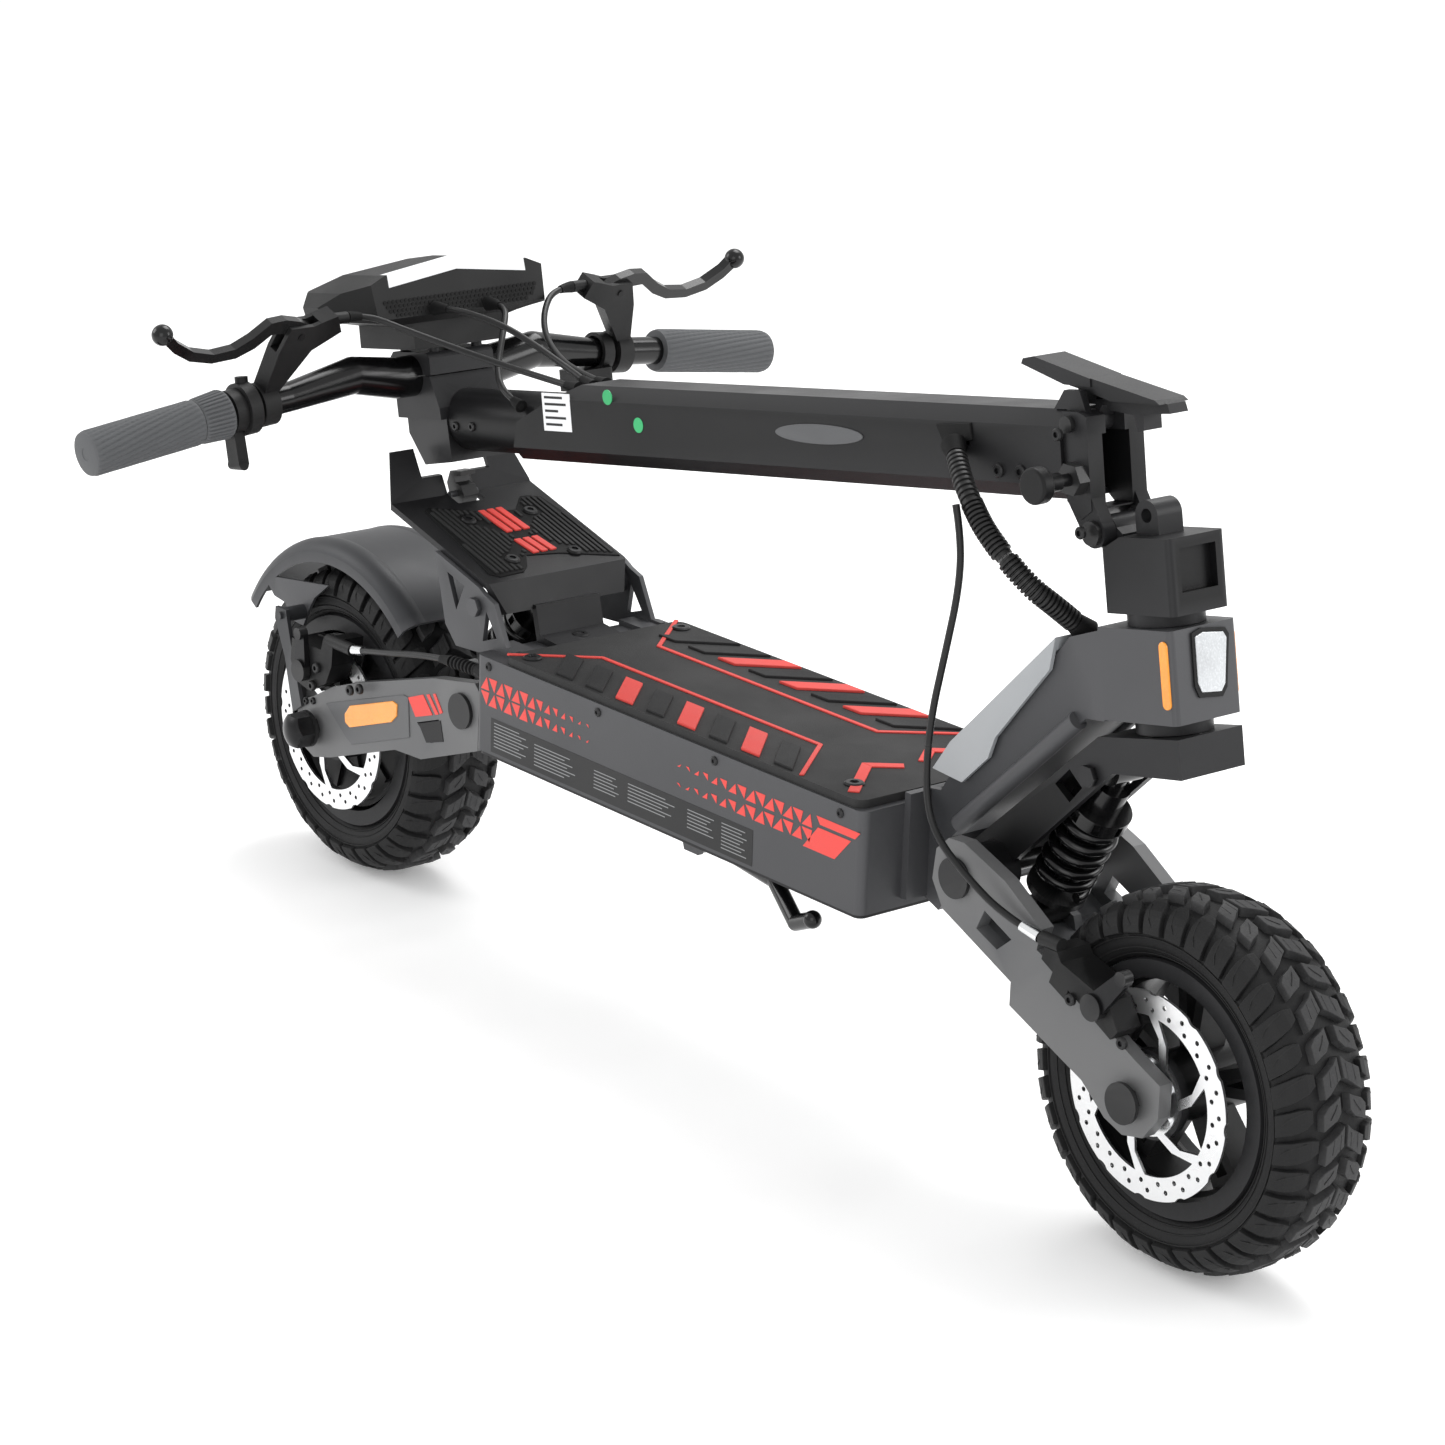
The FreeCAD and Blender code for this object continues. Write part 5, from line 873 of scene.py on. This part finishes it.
# ---- pieces along the cords ----
def station(points, distance):
    """The place and direction at a distance along a line, in millimetres."""
    walked = 0.0
    for first, second in zip(points, points[1:]):
        step = (second - first).length / MM
        if walked + step >= distance:
            return first.lerp(second, (distance - walked) / step), (second - first).normalized()
        walked += step
    return points[-1], (points[-1] - points[-2]).normalized()


def total_length(points):
    return sum((second - first).length for first, second in zip(points, points[1:])) / MM


def rings(shape, points, start, end, gap, radius, width):
    """Rounded rings round a cord, from one distance along it to another."""
    distance = start
    while distance <= end:
        centre, along = station(points, distance)
        shape.lathe(centre - along * (width / 2 * MM), along,
                    [(0, radius - 1.2), (width * 0.2, radius), (width * 0.8, radius),
                     (width, radius - 1.2)], 28)
        distance += gap


def boot(shape, points, start, end, wide, narrow):
    """A tapered sleeve that follows a cord."""
    rows = []
    side = None
    for step in range(9):
        share = step / 8
        centre, along = station(points, start + (end - start) * share)
        if side is None:
            side = along.orthogonal().normalized()
        else:
            side = (side - along * side.dot(along)).normalized()
        other = along.cross(side)
        radius = wide + (narrow - wide) * share
        rows.append([centre + (side * math.cos(turn) + other * math.sin(turn)) * (radius * MM)
                     for turn in (2 * math.pi * k / 32 for k in range(32))])
    shape.skin(rows)


upper_line, lower_line = line_of(loom_upper), line_of(loom_lower)
upper_size, lower_size = total_length(upper_line), total_length(lower_line)
upper_wrap, lower_wrap, upper_boot, lower_boot = Shape(), Shape(), Shape(), Shape()
rings(upper_wrap, upper_line, 16, upper_size * 0.55, 4.2, 7.0, 3.2)
rings(upper_wrap, upper_line, upper_size * 0.58, upper_size - 2, 3.2, 7.5, 2.8)
rings(lower_wrap, lower_line, 3, lower_size - 14, 3.2, 7.5, 2.8)
boot(upper_boot, upper_line, 0.5, 13, 8.6, 6.6)
boot(lower_boot, lower_line, lower_size - 0.5, lower_size - 13, 9.2, 6.8)
upper_wrap_piece = upper_wrap.build("loom_upper_wrap", cable_black, "stem", "cable_black", smooth=True)
lower_wrap_piece = lower_wrap.build("loom_lower_wrap", cable_black, "frame", "cable_black", smooth=True)
upper_boot_piece = upper_boot.build("loom_upper_boot", black_pad, "stem", "cable_black", smooth=True)
lower_boot_piece = lower_boot.build("loom_lower_boot", black_pad, "frame", "cable_black", smooth=True)

rear_line = line_of(rear_cable)
front_line = line_of(front_lower)
rear_size, front_size = total_length(rear_line), total_length(front_line)
rear_boot, rear_end, front_end = Shape(), Shape(), Shape()
rings(rear_boot, rear_line, 12, 44, 4.6, 5.0, 3.0)
boot(rear_boot, rear_line, 0.5, 12, 6.4, 4.6)
boot(rear_boot, rear_line, 44, 58, 4.6, 3.0)
boot(rear_end, rear_line, rear_size - 16, rear_size - 0.4, 3.6, 4.0)
boot(front_end, front_line, front_size - 16, front_size - 0.4, 3.6, 4.0)
rear_boot_piece = rear_boot.build("rear_cable_boot", black_pad, "rear_arm", "cable_black", smooth=True)
rear_end_piece = rear_end.build("rear_cable_ferrule", spring_steel, "rear_arm", "steel", smooth=True)
front_end_piece = front_end.build("front_cable_ferrule", spring_steel, "front_arm", "steel", smooth=True)



def cord_boots(cord_piece, name, first, last):
    """Tapered sleeves at both ends of a cord; first and last are their lengths and widths."""
    line = line_of(cord_piece)
    size = total_length(line)
    sleeves = Shape()
    boot(sleeves, line, 0.4, first[0], first[1], 3.1)
    boot(sleeves, line, size - 0.4, size - last[0], last[1], 3.1)
    return sleeves.build(name, black_pad, "stem", "cable_black", smooth=True)


display_boots = cord_boots(display_lead, "display_lead_boots", (16, 5.8), (14, 5.2))
side_boots = cord_boots(side_lead, "side_lead_boots", (16, 5.8), (12, 5.0))
lever_boots = [cord_boots(lever_cords[0], "right_lever_cord_boots", (12, 4.6), (14, 5.2)),
               cord_boots(lever_cords[1], "left_lever_cord_boots", (12, 4.6), (14, 5.2))]


# ---- head: reflectors and the front reflector's frame ----
head_side, head_front, head_frame = Shape(), Shape(), Shape()
for way in (-1, 1):
    bar = capsule((-25.0, 0.0), (11.4, 0.0), 3.6)
    head_side.prism([steer(25.5 + b, a, way * 29.1) for a, b in bar], Vector((0, way * 1.8 * MM, 0)))
lens = [(-9.8, 15.4), (-3.1, 17.4), (14.9, 14.9), (17.4, 11), (13.5, -17.9), (9.8, -22.5), (-7, -20.5),
        (-10, -13.9)]
head_front.prism([steer(32.6, up, y) for y, up in lens], AXIS_AHEAD * (2.0 * MM))
head_frame.prism([steer(32.4, up * 1.16, y * 1.22 - 0.4) for y, up in lens], AXIS_AHEAD * (1.3 * MM))
head_side.build("head_side_reflectors", amber, "frame", "window_plastic", bevel=0.6)
head_front.build("head_front_reflector", clear_reflector, "frame", "window_plastic", bevel=0.5)
head_frame.build("head_reflector_frame", plastic_black, "frame", "frame_paint", bevel=0.3)

# ---- hinge: screws in the casting ----
hinge_screws = Shape()
for x, z in ((335.6, 532.5), (361.4, 473.8)):
    bolt_face(hinge_screws, place(x, -34.0, z), (0, -1, 0), 4.2)
hinge_screws.build("casting_screws", black_steel, "stem", "steel", smooth=True)

# ---- display: cells under the light band ----
FACE_LEAN = 5 / 36             # the face leans forward this much for each millimetre up
CELL_RADIUS = 1.7
cells = Shape()
for row in range(4):
    for index in range(38):
        y = -72.0 + 3.9 * index + (1.95 if row % 2 else 0.0)
        n = 130.5 + 3.4 * row
        if abs(y) > 64 + 3.0 * row:
            continue
        centre = stem(706 + (n - 128) * FACE_LEAN + 0.4, n, y)
        outline = []
        for corner in range(6):
            turn = math.pi * corner / 3
            outline.append(centre + ALONG_Y * (CELL_RADIUS * MM * math.sin(turn)) +
                           STEM_ABOVE * (CELL_RADIUS * MM * math.cos(turn)))
        cells.prism(outline, STEM_ALONG * (-1.0 * MM))
cells.build("display_mesh_cells", black_pad, "stem", "frame_paint")

# ---- rear and front brake: bosses ----
bosses = Shape()
for x, z in ((-448.9, 182.3), (-455, 166), (-401.9, 176), (-388.8, 180.4)):
    bolt_face(bosses, place(x, -71.0, z), (0, -1, 0), 4.2)
bosses.build("rear_caliper_screws", black_steel, "rear_arm", "steel", smooth=True)
front_bosses = Shape()
for x, z in ((414, 182), (462, 168)):
    bolt_face(front_bosses, place(x, -71.0, z), (0, -1, 0), 4.2)
front_bosses.build("front_caliper_screws", black_steel, "front_arm", "steel", smooth=True)

# ---- floor, light ----
floor_mesh = bpy.data.meshes.new("floor")
floor_mesh.from_pydata([(-30, -30, 0), (30, -30, 0), (30, 30, 0), (-30, 30, 0)], [], [(0, 1, 2, 3)])
floor = bpy.data.objects.new("floor", floor_mesh)
scene.collection.objects.link(floor)
floor.location.z = cad_box[0].z
floor_material = surface("floor_paper", (0.94, 0.94, 0.94), 0.9, 0.0, 200, 0.02, 0.01)
floor_shader = floor_material.node_tree.nodes["Principled BSDF"]
floor_shader.inputs["Emission Color"].default_value = (1.0, 1.0, 1.0, 1.0)
floor_shader.inputs["Emission Strength"].default_value = 0.16
floor_mesh.materials.append(floor_material)


def area_light(name, at, aim, size, watts, tall=None):
    light = bpy.data.lights.new(name, "AREA")
    light.energy = watts
    light.size = size
    if tall:
        light.shape = "RECTANGLE"
        light.size_y = tall
    lamp = bpy.data.objects.new(name, light)
    scene.collection.objects.link(lamp)
    lamp.location = at
    lamp.rotation_mode = "QUATERNION"
    lamp.rotation_quaternion = (Vector(at) - Vector(aim)).to_track_quat("Z", "Y")


area_light("key", (-0.6, 1.2, 2.6), (0.0, 0.0, 0.3), 1.6, 45)
area_light("fill", (2.2, -2.6, 1.4), (0.1, 0.0, 0.3), 2.2, 22)
area_light("side", (-2.4, -1.6, 1.6), (0.0, 0.0, 0.3), 1.4, 22)
area_light("rim", (2.2, 1.8, 1.4), (0.3, 0.0, 0.3), 1.2, 22)
world = bpy.data.worlds.new("studio")
scene.world = world
world.use_nodes = True
world.node_tree.nodes["Background"].inputs["Color"].default_value = (1.0, 1.0, 1.0, 1.0)
world.node_tree.nodes["Background"].inputs["Strength"].default_value = 0.9
scene.view_settings.view_transform = "Standard"
